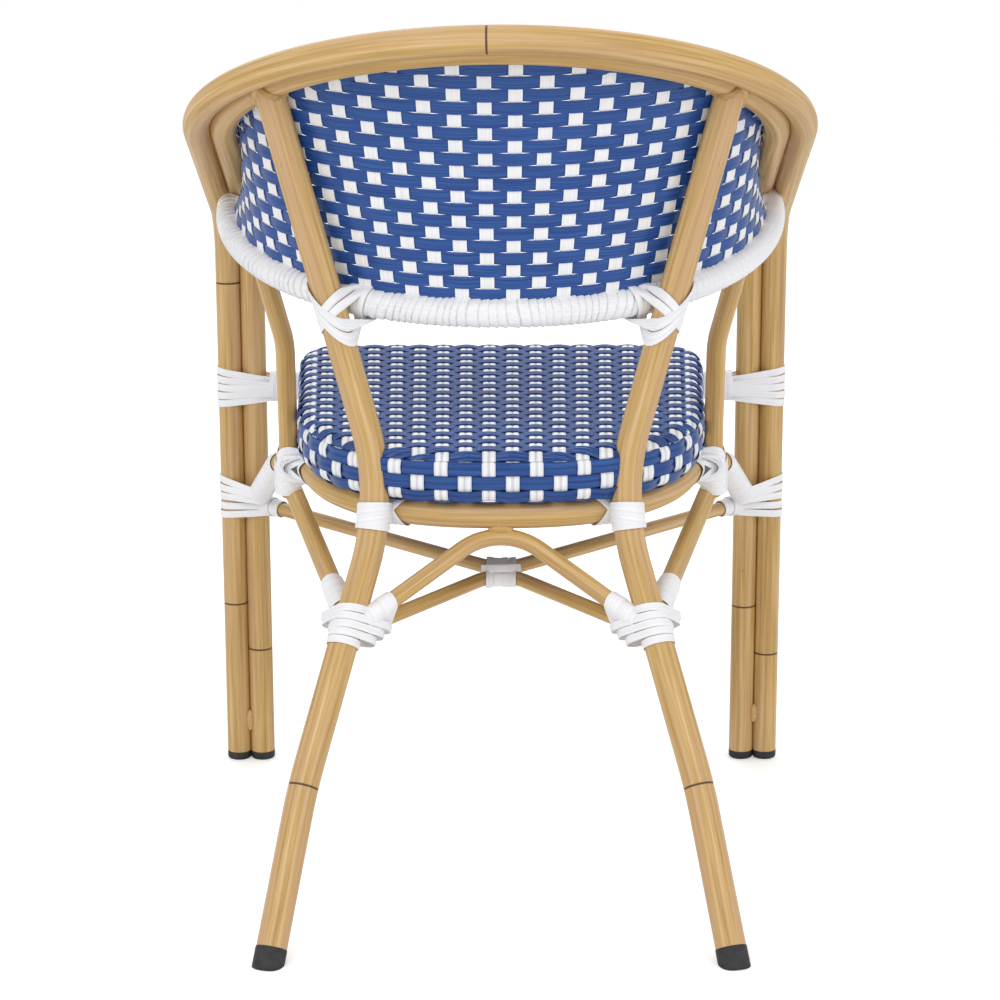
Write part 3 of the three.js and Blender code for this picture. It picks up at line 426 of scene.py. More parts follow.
@dataclass
class Tube:
    """A round tube along a route, with painted ring lines and ends that fit the tubes they meet."""

    route: Route
    diameter: float
    rings: Sequence[float] = ()
    shade: float = 0.5
    ring_width: float = 1.5 * MM
    ring_depth: float = 0.25 * MM
    ring_blur: float = 0.5 * MM
    merged: float = 0.001 * MM

    def surface(self, start: "Tube | None" = None, end: "Tube | None" = None) -> Surface:
        """The tube's surface, with a shallow groove at each ring line.

        Args:
            start: the tube that this one's first end meets.
            end: the tube that its last end meets.

        Returns:
            The closed surface.
        """
        half = self.ring_width / 2
        offsets = [-half - self.ring_blur, -half, half, half + self.ring_blur]
        marks = [at + offset for at in self.rings for offset in offsets]
        lengths = np.union1d(self.route.lengths, marks)
        close = np.diff(lengths, prepend=-1) > self.merged
        lengths = lengths[close]
        route = self.route if not marks else Route(self.route.at(lengths), None, self.route.closed)
        nearest = np.full(len(route.lengths), math.inf)
        for at in self.rings:
            nearest = np.minimum(nearest, np.abs(route.lengths - at))
        line = np.clip((half + self.ring_blur - nearest) / self.ring_blur, 0, 1)
        radius = self.diameter / 2 - self.ring_depth * line
        section = round_section(1.0)[None] * radius[:, None, None]
        made = swept(route, section, shade=self.shade)
        made.ring = np.repeat(line[:, None], section.shape[1], axis=1)
        for end_index, carrier in ((0, start), (-1, end)):
            if carrier is not None:
                made = coped(made, carrier, end_index)
        return made

    def bead(self, carrier: "Tube", end: int, size: float) -> Surface:
        """The weld bead round a coped end: a thin uneven tube along the edge of the end.

        Its radius is size * (1 + 0.3 * sin(1.3 * i) + 0.15 * cos(2.9 * i)) at point i of the edge, and its
        burnt colour is 0.14 + 0.14 * sin(0.9 * i).

        Args:
            carrier: the tube that the end meets.
            end: 0 for the first end and -1 for the last.
            size: the bead's mean radius.

        Returns:
            The bead.
        """
        edge = coped(self.surface(), carrier, end).points[end]
        route = Route(edge, None, closed=True)
        place = np.arange(len(edge))
        wave = 1 + 0.3 * np.sin(place * 1.3) + 0.15 * np.cos(place * 2.9)
        section = round_section(1.0, BEAD_SIDES)[None] * (size * wave)[:, None, None]
        burnt = np.repeat((0.14 + 0.14 * np.sin(place * 0.9))[:, None], BEAD_SIDES, axis=1)
        return swept(route, section, ring=burnt, shade=self.shade)


def coped(made: Surface, carrier: Tube, end: int) -> Surface:
    """Slides the points of an end along their tube onto the surface of the tube that it meets.

    A point p moves by the smaller t of |(p + t * d - c) x a| = R, with d the tube's own direction,
    c a point of the carrier, a its direction and R its radius. Stations inside the carrier go first.

    Args:
        made: the tube's surface, which runs on into the carrier.
        carrier: the tube that it meets.
        end: 0 for the first end and -1 for the last.

    Returns:
        The shortened surface.
    """
    points = made.points
    middles = points.mean(axis=1)
    inwards = 1 if end == 0 else -1
    direction = unit(middles[end] - middles[end + inwards])
    near = norm(carrier.route.points - middles[end], axis=1)
    i = int(np.argmin(near))
    centre = carrier.route.points[i]
    axis = carrier.route.tangents[i]
    radius = carrier.diameter / 2
    away = np.cross(points[end] - centre, axis)
    turn = np.cross(direction, axis)
    a = turn @ turn
    b = away @ turn
    c = np.sum(away * away, axis=1) - radius**2
    slide = (-b - np.sqrt(np.maximum(b * b - a * c, 0))) / a
    new_end = points[end] + slide[:, None] * direction
    limit = (new_end @ direction).min() - COPE_MARGIN
    keep = (points @ direction).max(axis=1) < limit
    keep[end] = True
    grain = made.grain.copy()
    grain[end, :, 2] += -inwards * slide
    points = points.copy()
    points[end] = new_end
    return Surface(points[keep], grain[keep], made.ring[keep], made.shade, made.closed)


# The routes of the frame, as the solids have them

LOOP_HALF_WIDTH = 286 * MM
LOOP_SLOPE = math.radians(24.8)
ARM_FRONT_HEIGHT = 591 * MM
ARM_STRAIGHT = 277 * MM
LOOP_DEPTH = 251 * MM
FRONT_BEND_RADIUS = 62 * MM
PAIR_SPACING = FRAME_TUBE + GAP
INNER_SPREAD = LOOP_HALF_WIDTH - PAIR_SPACING
LOOP_ANGLES = np.linspace(0, PI, 121)

LEG_JOIN_ANGLE = math.radians(37.2)
LEG_WAIST = vec(109, 343, 377) * MM
LEG_KNEE = vec(181, 488, 138) * MM
LEG_GROUND = vec(208.5, 570, 0) * MM
LEG_END_HEIGHT = 13 * MM
LEG_WAIST_RADIUS = 170 * MM
LEG_KNEE_RADIUS = 600 * MM
LEG_STEPS = 24

SEAT_FRONT_HEIGHT = 455 * MM
SEAT_SLOPE = math.radians(4.6)
SEAT_THICKNESS = 48 * MM
SEAT_HALF_WIDTH = 201 * MM
SEAT_FRONT_FLARE = 12 * MM
SEAT_MIDDLE = 150 * MM
SEAT_FRONT_REACH = 167 * MM
SEAT_REAR_REACH = 226 * MM
SEAT_ROUNDING = 15 * MM
SEAT_QUARTER = SEAT_ROUNDING * PI / 2
SEAT_REAR_SQUARENESS = 2.8
SEAT_FRONT_SQUARENESS = 9
SEAT_FRONT = SEAT_MIDDLE - SEAT_FRONT_REACH
SEAT_FRAME_SPREAD = 173 * MM

RING_HALF_WIDTH = 190 * MM
RING_REAR_REACH = 203 * MM
RING_FRONT_REACH = 142 * MM
RING_SQUARENESS = 2.4
RING_STEPS = 96
RING_BELOW = SEAT_THICKNESS + 3 * MM + RING_TUBE / 2

RAIL_BACK_HEIGHT = 556 * MM
RAIL_SLOPE = math.radians(14)
RAIL_HALF_WIDTH = 269 * MM
RAIL_CURVE_DEPTH = 258 * MM
RAIL_SQUARENESS = 2.12
RAIL_STEPS = 120
RAIL_WRAPPED = RAIL_TUBE + 2 * (GAP + 1.9 * MM)
ROD_INSET = PAIR_SPACING + FRAME_TUBE / 2 + GAP + WEAVE_ROD / 2
BACK_FRONT_END = 140 * MM

SUPPORT_DEPTH = 194 * MM
SUPPORT_LEAN = 20 * MM
SUPPORT_LOW_RISE = 68.9 * MM
SUPPORT_HIGH_RISE = 90 * MM
SUPPORT_TOP_DEPTH = 254 * MM
SUPPORT_BEND_RADIUS = 80 * MM
SIDE_ARCH_PEAK = vec(225, 128, 363) * MM
SIDE_ARCH_REAR_HEIGHT = 271 * MM
SIDE_ARCH_RADIUS = 45 * MM
REAR_ARCH_END_HEIGHT = 262 * MM
REAR_ARCH_DEPTH = 352 * MM
REAR_ARCH_RADIUS = 60 * MM
BRACE_FRONT_HEIGHT = 286 * MM
BRACE_REAR_HEIGHT = 261 * MM
BRACE_FRONT_DIP = 4 * MM
BRACE_REAR_RISE = 16 * MM
BRACE_MEETING_DEPTH = 264 * MM
BRACE_RADIUS = 30 * MM
BRACE_SEARCH = 40 * MM
SIDE_ARCH_FRONT_HEIGHT = BRACE_FRONT_HEIGHT + 4 * MM
STUB_HEIGHT = SEAT_FRONT_HEIGHT - 42 * MM
CAP_HEIGHT = 9 * MM

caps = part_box("foot_cap_outer_left")
FRONT_LINE = vec(0, (caps[0].y + caps[1].y) / 2, 0)


def seat_height(y: Array | float, below: float = 0.0) -> Array | float:
    """The height of a plane parallel to the seat's top, a distance below it."""
    return SEAT_FRONT_HEIGHT - (y - SEAT_FRONT) * math.tan(SEAT_SLOPE) - below / math.cos(SEAT_SLOPE)


class FrameRoutes:
    """The centre lines of all the tubes, from the same sizes as the solids."""

    def __init__(self) -> None:
        """Works out each line, and moves the lines that touch others until they touch."""
        self.outer = Route(self.loop(0))
        self.inner = Route(self.loop(PAIR_SPACING))
        self.leg = self._leg()
        self.ring_half = self._ring_half()
        self.rail = self._rail()
        rod_start = self.on_loop_plane(LOOP_HALF_WIDTH - ROD_INSET, BACK_FRONT_END / math.cos(LOOP_SLOPE))
        curve = self.loop_curve(ROD_INSET)
        self.rod = Route(np.vstack([rod_start, curve, rod_start * MIRROR]))
        self.front_brace, self.rear_brace = self._braces()
        rear, front = self.leg.where(2, SIDE_ARCH_REAR_HEIGHT), self.front_leg(SIDE_ARCH_FRONT_HEIGHT)
        self.side_arch = Route(fillet([rear, SIDE_ARCH_PEAK, front], [SIDE_ARCH_RADIUS]))
        self.rear_arch = self._rear_arch()
        self.support = self._support()
        self.stub = Route(vec(np.array([INNER_SPREAD, SEAT_FRAME_SPREAD]), 0, STUB_HEIGHT))

    @staticmethod
    def front_leg(height: float) -> Array:
        """A point of the inner front leg."""
        return vec(INNER_SPREAD, 0, height)

    @staticmethod
    def bent_bar(end: Array, depth: float, height: float, radius: float) -> Array:
        """A bar from a leg to the middle and on to the leg across."""
        return fillet([end, vec(0, depth, height), end * MIRROR], [radius])

    def _braces(self) -> tuple[Route, Route]:
        """The front and rear braces, bent in the middle where they touch back to back.

        Returns:
            The front brace and the rear brace.
        """
        front_end = self.front_leg(BRACE_FRONT_HEIGHT)
        dip = BRACE_FRONT_HEIGHT - BRACE_FRONT_DIP
        front = self.bent_bar(front_end, BRACE_MEETING_DEPTH, dip, BRACE_RADIUS)
        rear_end = self.leg.where(2, BRACE_REAR_HEIGHT)

        def rear_at(depth: float) -> Array:
            """The rear brace with its bend at a depth."""
            return self.bent_bar(rear_end, depth, BRACE_REAR_HEIGHT + BRACE_REAR_RISE, BRACE_RADIUS)

        deep, clear = BRACE_MEETING_DEPTH - BRACE_SEARCH, BRACE_MEETING_DEPTH + BRACE_SEARCH
        return Route(front), Route(rear_at(touching(rear_at, front, BRACE_TUBE + GAP, deep, clear)))

    @staticmethod
    def on_loop_plane(x: Array | float, along: Array | float) -> Array:
        """A point of the tilted plane of the arms and the top rail, from x and the distance up the slope."""
        return vec(x, along * math.cos(LOOP_SLOPE), ARM_FRONT_HEIGHT + along * math.sin(LOOP_SLOPE))

    def loop_curve(self, inset: float, angle: Array = LOOP_ANGLES) -> Array:
        """The back's half oval: a point of the ellipse less the inset along its normal.

        Args:
            inset: how far the line lies inside the outer tube's.
            angle: the ellipse's angles.

        Returns:
            The points.
        """
        normal = unit(np.stack([np.cos(angle) / LOOP_HALF_WIDTH, np.sin(angle) / LOOP_DEPTH], axis=-1))
        x = LOOP_HALF_WIDTH * np.cos(angle) - inset * normal[..., 0]
        return self.on_loop_plane(x, ARM_STRAIGHT + LOOP_DEPTH * np.sin(angle) - inset * normal[..., 1])

    def loop(self, inset: float) -> Array:
        """Front leg, front bend, arm, top rail, arm, front bend and front leg.

        Args:
            inset: how far the line lies inside the outer tube's.

        Returns:
            The points of the whole bend.
        """
        spread = LOOP_HALF_WIDTH - inset
        curve = self.loop_curve(inset)
        foot = vec(spread, 0, CAP_HEIGHT)
        bend = fillet([foot, vec(spread, 0, ARM_FRONT_HEIGHT), curve[0]], [FRONT_BEND_RADIUS])[:-1]
        return np.vstack([bend, curve, bend[::-1] * MIRROR])

    def _leg(self) -> Route:
        """The rear leg: top joint, waist, knee and foot.

        Returns:
            The left leg's line.
        """
        top = self.loop_curve(PAIR_SPACING, np.array(LEG_JOIN_ANGLE))
        axis = unit(LEG_KNEE - LEG_GROUND)
        end = LEG_GROUND + axis * LEG_END_HEIGHT / axis[2]
        return Route(fillet([top, LEG_WAIST, LEG_KNEE, end], [LEG_WAIST_RADIUS, LEG_KNEE_RADIUS], LEG_STEPS))

    def _ring_half(self) -> Route:
        """Half of the hoop under the seat, moved back until it touches the rear leg.

        Returns:
            The left half, from front to back.
        """

        def ring_at(middle: float) -> Array:
            """The half hoop with its widest place at a depth.

            Args:
                middle: the depth.

            Returns:
                The points, from front to back.
            """
            angle = np.linspace(-PI / 2, PI / 2, RING_STEPS + 1)
            across, along = oval_shares(angle, RING_SQUARENESS)
            y = middle + along * np.where(along > 0, RING_REAR_REACH, RING_FRONT_REACH)
            return np.stack([RING_HALF_WIDTH * across, y, seat_height(y, RING_BELOW)], axis=-1)

        reach = (RING_TUBE + LEG_TUBE) / 2 + GAP
        deep = SEAT_MIDDLE + RING_REAR_REACH / 2
        return Route(ring_at(touching(ring_at, self.leg.points, reach, deep, SEAT_FRONT)))

    def _rail(self) -> Route:
        """The lower back rail, moved forward until its wrapping touches the rear legs.

        Returns:
            The rail's line from the left arm to the right one.
        """
        rise = math.tan(RAIL_SLOPE)

        def rail_half(rear: float) -> Array:
            """The left half of the rail with its rearmost place at a depth.

            Args:
                rear: the depth.

            Returns:
                The points, from the arm to the middle.
            """
            base = RAIL_BACK_HEIGHT + rear * rise
            end = (base - ARM_FRONT_HEIGHT) / (math.tan(LOOP_SLOPE) + rise)
            across, along = oval_shares(np.linspace(0, PI / 2, RAIL_STEPS + 1), RAIL_SQUARENESS)
            y = rear - RAIL_CURVE_DEPTH * (1 - along)
            curve = np.stack([RAIL_HALF_WIDTH * across, y, base - y * rise], axis=-1)
            curve = curve[y > end]
            return np.vstack([vec(curve[0][0], end, base - end * rise), curve])

        reach = (RAIL_WRAPPED + LEG_TUBE) / 2 + GAP
        half = rail_half(touching(rail_half, self.leg.points, reach, LEG_GROUND[1], RAIL_CURVE_DEPTH))
        return Route(np.vstack([half, half[-2::-1] * MIRROR]))

    def _rear_arch(self) -> Route:
        """The arch between the rear legs, whose peak touches the hoop from below.

        Returns:
            The arch from the left leg to the right one.
        """
        end = self.leg.where(2, REAR_ARCH_END_HEIGHT)

        def arch_at(height: float) -> Array:
            """The arch with its corner at a height."""
            return self.bent_bar(end, REAR_ARCH_DEPTH, height, REAR_ARCH_RADIUS)

        ring = self.ring_half.points
        reach = (RING_TUBE + REAR_ARCH_TUBE) / 2 + GAP
        low = REAR_ARCH_END_HEIGHT + REAR_ARCH_TUBE
        return Route(arch_at(touching(arch_at, ring, reach, float(ring[-1][2]), low)))

    def _support(self) -> Route:
        """An arm support, moved inwards until it touches the hoop.

        Returns:
            The left support, from the side arch to the rail.
        """
        foot = self.side_arch.where(1, SUPPORT_DEPTH)

        def support_at(spread: float) -> Array:
            """The support with its lower part at a distance from the middle.

            Args:
                spread: the distance.

            Returns:
                The points, from the arch up.
            """
            low_bend = foot[2] + SUPPORT_LOW_RISE
            corners = [
                vec(spread, SUPPORT_DEPTH, foot[2]),
                vec(spread, SUPPORT_DEPTH, low_bend),
                vec(spread, SUPPORT_DEPTH + SUPPORT_LEAN, low_bend + SUPPORT_HIGH_RISE),
                self.rail.where(1, SUPPORT_TOP_DEPTH),
            ]
            return fillet(corners, [SUPPORT_BEND_RADIUS] * 2)

        reach = (RING_TUBE + SUPPORT_TUBE) / 2 + GAP
        ring = self.ring_half.points
        return Route(support_at(touching(support_at, ring, reach, RING_HALF_WIDTH, LOOP_HALF_WIDTH)))


# Finishes


def linear(colour: str) -> tuple[float, float, float, float]:
    """An sRGB hex colour as linear values: ((c + 0.055) / 1.055) ^ 2.4, or c / 12.92 for dark ones."""
    shares = [int(colour[i : i + 2], 16) / 255 for i in (0, 2, 4)]
    return (*[s / 12.92 if s <= 0.04045 else ((s + 0.055) / 1.055) ** 2.4 for s in shares], 1.0)


def add_node(
    tree: Tree,
    kind: str,
    inputs: dict[str | int, object] | None = None,
    stops: Sequence[tuple[float, str]] = (),
    **settings: object,
) -> Node:
    """Adds one node.

    Args:
        tree: the material's tree.
        kind: the node's type name after ShaderNode.
        inputs: input sockets, by name or number, with the output sockets that feed them or their values.
        stops: the places and sRGB colours of a ramp's stops.
        settings: the node's properties, and its inputs by name with underscores for spaces.

    Returns:
        The node.
    """
    made = tree.nodes.new("ShaderNode" + kind)
    named = {socket.name.replace(" ", "_"): socket for socket in reversed(made.inputs)}
    for key, value in settings.items():
        if hasattr(made, key):
            setattr(made, key, value)
        else:
            named[key].default_value = value
    for key, value in (inputs or {}).items():
        if isinstance(value, Socket):
            tree.links.new(value, made.inputs[key])
        else:
            made.inputs[key].default_value = value
    for _ in stops[2:]:
        made.color_ramp.elements.new(1.0)
    for i, (place, colour) in enumerate(stops):
        made.color_ramp.elements[i].position = place
        made.color_ramp.elements[i].color = linear(colour)
    return made


class Mix(IntEnum):
    """Socket numbers of a colour Mix node."""

    FACTOR = 0
    FIRST = 6
    SECOND = 7
    RESULT = 2


@dataclass(frozen=True)
class Finish:
    """What every finish has: a name, the settings of its shader and how its shine varies."""

    look: Look
    roughness: float = 0.4
    ior: float = 1.5
    duller: Pair = (-0.1, 0.1)
    bump: float = 0.3
    bump_depth: float = 0.1 * MM

    def build(self) -> None:
        """Makes the material and keeps it under its look."""
        made = bpy.data.materials.new(self.look.value[0])
        made.use_nodes = True
        shader = made.node_tree.nodes["Principled BSDF"]
        shader.inputs["IOR"].default_value = self.ior
        shader.inputs["Roughness"].default_value = self.roughness
        self.dress(made.node_tree, shader)
        MATERIALS[self.look] = made

    def dress(self, tree: Tree, shader: Node) -> None:
        """Adds the finish's own nodes."""

    def grain(self, tree: Tree, across: float, along: float) -> Socket:
        """The surface's own place, scaled so that one unit is `across` round it and `along` along it.

        Each surface's random shade moves it in the pattern, so that no two tubes or straps are alike.

        Args:
            tree: the material's tree.
            across: the pattern's size round a strap or tube.
            along: its size along the strap or tube.

        Returns:
            The socket with the place.
        """
        place = add_node(tree, "Attribute", attribute_name="grain")
        shade = add_node(tree, "Attribute", attribute_name="shade")
        scale = (1 / across, 1 / across, 1 / along)
        scaled = add_node(tree, "Mapping", {"Vector": place.outputs["Vector"]}, Scale=scale)
        inputs = {0: shade.outputs["Fac"], 1: SHADE_SHIFT}
        shift = add_node(tree, "VectorMath", inputs, operation="MULTIPLY")
        inputs = {0: scaled.outputs[0], 1: shift.outputs[0]}
        return add_node(tree, "VectorMath", inputs, operation="ADD").outputs[0]

    def relief(
        self,
        tree: Tree,
        shader: Node,
        shine: Socket,
        height: Socket,
    ) -> None:
        """Varies the shine by one pattern and the height by another.

        Args:
            tree: the material's tree.
            shader: its shader.
            shine: the pattern that the roughness follows.
            height: the pattern that the bump follows.
        """
        low, high = (self.roughness + change for change in self.duller)
        gloss = add_node(tree, "MapRange", {0: shine}, To_Min=low, To_Max=high)
        tree.links.new(gloss.outputs[0], shader.inputs["Roughness"])
        size = {"Strength": self.bump, "Distance": self.bump_depth}
        bump = add_node(tree, "Bump", {"Height": height}, **size)
        tree.links.new(bump.outputs[0], shader.inputs["Normal"])


@dataclass(frozen=True)
class BambooPaint(Finish):
    """Aluminium tube, powder coated and printed with a bamboo grain under clear lacquer.

    Long brown and pale streaks run along the tube, and dark lines go round it at the false joints.
    Sizes are round the tube and along it.
    """

    duller: Pair = (-0.06, 0.08)
    bump: float = 0.25
    bump_depth: float = 0.15 * MM
    pale: str = "e0c092"
    gold: str = "cba562"
    brown: str = "ab8347"
    pink: str = "c9a384"
    knot: str = "80512f"
    line: str = "5c3f20"
    streak_size: Pair = (3.5 * MM, 160 * MM)
    patch_size: Pair = (20 * MM, 260 * MM)
    knot_size: Pair = (9 * MM, 24 * MM)
    stops: tuple[float, float, float] = (0.28, 0.5, 0.72)
    patches: Pair = (0.45, 0.7)
    knots: Pair = (0.7, 0.8)
    tint: float = 0.6
    smudge: float = 0.8

    def dress(self, tree: Tree, shader: Node) -> None:
        """Streaks over pink patches, a few dark knots, and the ring lines.

        Args:
            tree: the material's tree.
            shader: its shader.
        """
        noise = "TexNoise"
        place = {"Vector": self.grain(tree, *self.streak_size)}
        streaks = add_node(tree, noise, place, Scale=1.0, Detail=4.0, Roughness=0.6).outputs["Fac"]
        place = {"Vector": self.grain(tree, *self.patch_size)}
        patches = add_node(tree, noise, place, Scale=1.0, Detail=2.0).outputs["Fac"]
        stops = list(zip(self.stops, (self.brown, self.gold, self.pale)))
        colour = add_node(tree, "ValToRGB", {0: streaks}, stops).outputs[0]
        place = {"Vector": self.grain(tree, *self.knot_size)}
        knots = add_node(tree, noise, place, Scale=1.0, Detail=4.0, Roughness=0.7).outputs["Fac"]
        layers = []
        for pattern, (low, high), share, laid in (
            (patches, self.patches, self.tint, self.pink),
            (knots, self.knots, self.smudge, self.knot),
        ):
            ends = {"From_Min": low, "From_Max": high, "To_Max": share}
            layers.append((add_node(tree, "MapRange", {0: pattern}, **ends).outputs[0], laid))
        ring = add_node(tree, "Attribute", attribute_name="ring").outputs["Fac"]
        for amount, laid in [*layers, (ring, self.line)]:
            inputs = {Mix.FACTOR: amount, Mix.FIRST: colour, Mix.SECOND: linear(laid)}
            colour = add_node(tree, "Mix", inputs, data_type="RGBA").outputs[Mix.RESULT]
        tree.links.new(colour, shader.inputs["Base Color"])
        self.relief(tree, shader, streaks, streaks)


@dataclass(frozen=True)
class PlasticStrip(Finish):
    """Extruded polyethylene strip: smooth, a little waxy, with fine lines along it, and painted shade in its
    grooves.
    """

    duller: Pair = (-0.08, 0.1)
    bump_depth: float = 0.2 * MM
    colour: str = "f9f9fb"
    # The lines' second colour: a darker tone on the white strips, and on the blue ones a lighter colour that
    # is partly the strip's tone and partly painted sheen along the strands.
    streak: str = "e6e7ec"
    # Painted shade: the darker colour mixed in where shade falls in the grooves between strands, at the
    # strip's edges and under it.
    painted_crease_shade: str = "b9bdc9"
    line_size: Pair = (1.1 * MM, 90 * MM)
    stops: Pair = (0.35, 0.75)

    def dress(self, tree: Tree, shader: Node) -> None:
        """Lines along the strip, from noise drawn out along the grain, and painted shade at its edges and in
        its grooves, where the ring attribute is set.

        Args:
            tree: the material's tree.
            shader: its shader.
        """
        place = {"Vector": self.grain(tree, *self.line_size)}
        noise = add_node(tree, "TexNoise", place, Scale=1.0, Detail=3.0, Roughness=0.6)
        lines = noise.outputs["Fac"]
        stops = list(zip(self.stops, (self.colour, self.streak)))
        colour = add_node(tree, "ValToRGB", {0: lines}, stops).outputs[0]
        # Painted shade: the ring attribute marks where shade falls in the grooves, and the darker colour is
        # mixed in there.
        ring = add_node(tree, "Attribute", attribute_name="ring").outputs["Fac"]
        inputs = {Mix.FACTOR: ring, Mix.FIRST: colour, Mix.SECOND: linear(self.painted_crease_shade)}
        colour = add_node(tree, "Mix", inputs, data_type="RGBA").outputs[Mix.RESULT]
        tree.links.new(colour, shader.inputs["Base Color"])
        self.relief(tree, shader, lines, lines)


@dataclass(frozen=True)
class MouldedRubber(Finish):
    """Moulded rubber: nearly black, dull, with a fine grain and slightly worn edges."""

    colour: str = "242327"
    worn: str = "3a393d"
    grit_size: float = 0.8 * MM
    wear_size: float = 9 * MM
    stops: Pair = (0.4, 0.8)

    def dress(self, tree: Tree, shader: Node) -> None:
        """A fine grain in the bump and a coarser one in the colour.

        Args:
            tree: the material's tree.
            shader: its shader.
        """
        place = {"Vector": add_node(tree, "TexCoord").outputs["Object"]}
        grit = add_node(tree, "TexNoise", place, Scale=1 / self.grit_size, Detail=2.0)
        wear = add_node(tree, "TexNoise", place, Scale=1 / self.wear_size, Detail=3.0)
        stops = list(zip(self.stops, (self.colour, self.worn)))
        ramp = add_node(tree, "ValToRGB", {0: wear.outputs["Fac"]}, stops)
        tree.links.new(ramp.outputs[0], shader.inputs["Base Color"])
        self.relief(tree, shader, wear.outputs["Fac"], grit.outputs["Fac"])


def build_finishes() -> None:
    """Makes every finish of the chair."""
    # Blue: its lighter streak colour is partly tone and partly painted sheen, and its darker groove colour is
    # painted shade.
    blue = {"colour": "123c82", "streak": "3262ab", "painted_crease_shade": "0b1f48", "bump": 0.5}
    # Painted shade: the dark navy fill that stands for the shadow inside the seat.
    dark = {"colour": "131f3d", "streak": "1d2f57", "painted_crease_shade": "131f3d"}
    for finish in (
        BambooPaint(Look.BAMBOO, roughness=0.42),
        PlasticStrip(Look.WHITE_STRIP, roughness=0.42),
        PlasticStrip(Look.WHITE_WEAVE, roughness=0.38),
        PlasticStrip(Look.BLUE_WEAVE, roughness=0.3, ior=1.45, **blue),
        PlasticStrip(Look.DARK_WEAVE, roughness=0.5, **dark),
        MouldedRubber(Look.RUBBER, roughness=0.6),
    ):
        finish.build()


# Frame tubes


@dataclass
class TubeFrame:
    """All the painted tubes: doubled frame, legs, rails, hoop, braces, arches, supports and stubs.

    The first ring lines of a tube are lengths from its left foot. The others are lengths back from the
    outer tube's middle or from a right foot.
    """

    routes: FrameRoutes
    outer_rings: tuple[float, float, float, float] = (167 * MM, 515 * MM, 11 * MM, 110 * MM)
    inner_rings: Pair = (116 * MM, 163 * MM)
    leg_ring: float = 148.5 * MM
    leg_bead: float = 3.4 * MM
    seam_radius: float = 4.2 * MM
    seam_depth: float = 6.5 * MM
    left_seam: Pair = (32 * MM, 56 * MM)
    right_seam: Pair = (41 * MM, 62 * MM)
    peak_bead: float = 12 * MM
    paired: Sequence[str] = ("rear_leg", "arch", "arm_support", "seat_stub")

    @staticmethod
    def weld(start: Array, end: Array, radius: float) -> Surface:
        """A short weld bead: a radius of r * sqrt(1 - s^2) with a ripple, over shares s from -1 to 1.

        Args:
            start: the bead's first end.
            end: its last end.
            radius: its greatest radius.

        Returns:
            The bead, whose ends stop just short of a point.
        """
        share = np.linspace(-0.995, 0.995, 25)
        route = Route(start + (share[:, None] + 1) / 2 * (end - start))
        size = radius * np.sqrt(1 - share**2) * (1 + 0.12 * np.sin(share * 14))
        return swept(route, round_section(1.0, 12)[None] * size[:, None, None], shade=0.8)

    def front_seam(self, ends: Pair) -> Surface:
        """The bead between the two tubes of the left front leg, from one height to another."""
        middle = (LOOP_HALF_WIDTH + INNER_SPREAD) / 2
        return self.weld(*[vec(middle, self.seam_depth, height) for height in ends], self.seam_radius)

    def peak_weld(self) -> Surface:
        """The bead where the rear arch's peak meets the hoop from below.

        Returns:
            The bead.
        """
        crest = self.routes.rear_arch.where(0, 0.0)
        hoop = self.routes.ring_half.points[-1]
        contact = hoop + unit(crest - hoop) * RING_TUBE / 2 + self.seam_radius * REAR
        reach = self.peak_bead * OUTER
        return self.weld(contact - reach, contact + reach, self.seam_radius)

    def build(self) -> None:
        """Makes each tube as a piece of its own."""
        r = self.routes
        whole = r.outer.lengths[-1]
        low, high, middle, right = self.outer_rings
        outer = Tube(r.outer, FRAME_TUBE + 2 * GAP, [low, high, whole / 2 - middle, whole - right], 0.2)
        low, right = self.inner_rings
        inner = Tube(r.inner, FRAME_TUBE + 2 * GAP, [low, r.inner.lengths[-1] - right], 0.7)
        leg = Tube(r.leg, LEG_TUBE, [r.leg.lengths[-1] - self.leg_ring], 0.35)
        other_leg = Tube(r.leg.mirrored(), LEG_TUBE)
        hoop = Route(np.vstack([r.ring_half.points, r.ring_half.points[-2:0:-1] * MIRROR]), UP, closed=True)
        rear_arch = Tube(r.rear_arch, REAR_ARCH_TUBE, (), 0.3)
        side_arch = Tube(r.side_arch, SIDE_ARCH_TUBE, (), 0.65)
        support = Tube(r.support, SUPPORT_TUBE, (), 0.55)
        seams = [self.front_seam(self.left_seam), flipped(self.front_seam(self.right_seam))]
        made = {
            "outer_frame_tube": [outer.surface()],
            "inner_frame_tube": [inner.surface(), *seams],
            "rear_leg": [leg.surface(start=inner), leg.bead(inner, 0, self.leg_bead)],
            "seat_ring": [Tube(hoop, RING_TUBE, (), 0.85).surface()],
            "lower_back_rail": [Tube(r.rail, RAIL_TUBE, (), 0.5).surface(inner, inner)],
            "brace_front": [Tube(r.front_brace, BRACE_TUBE, (), 0.45).surface(inner, inner)],
            "brace_rear": [Tube(r.rear_brace, BRACE_TUBE, (), 0.6).surface(leg, other_leg)],
            "arch_rear": [rear_arch.surface(leg, other_leg), self.peak_weld()],
            "arch": [side_arch.surface(leg, inner)],
            "arm_support": [support.surface(side_arch, Tube(r.rail, RAIL_WRAPPED))],
            "seat_stub": [Tube(r.stub, STUB_TUBE, (), 0.9).surface(inner)],
        }
        for name, surfaces in made.items():
            if name in self.paired:
                pair(name, surfaces, Look.BAMBOO)
            else:
                piece(name, surfaces, Look.BAMBOO, name)


# Foot caps


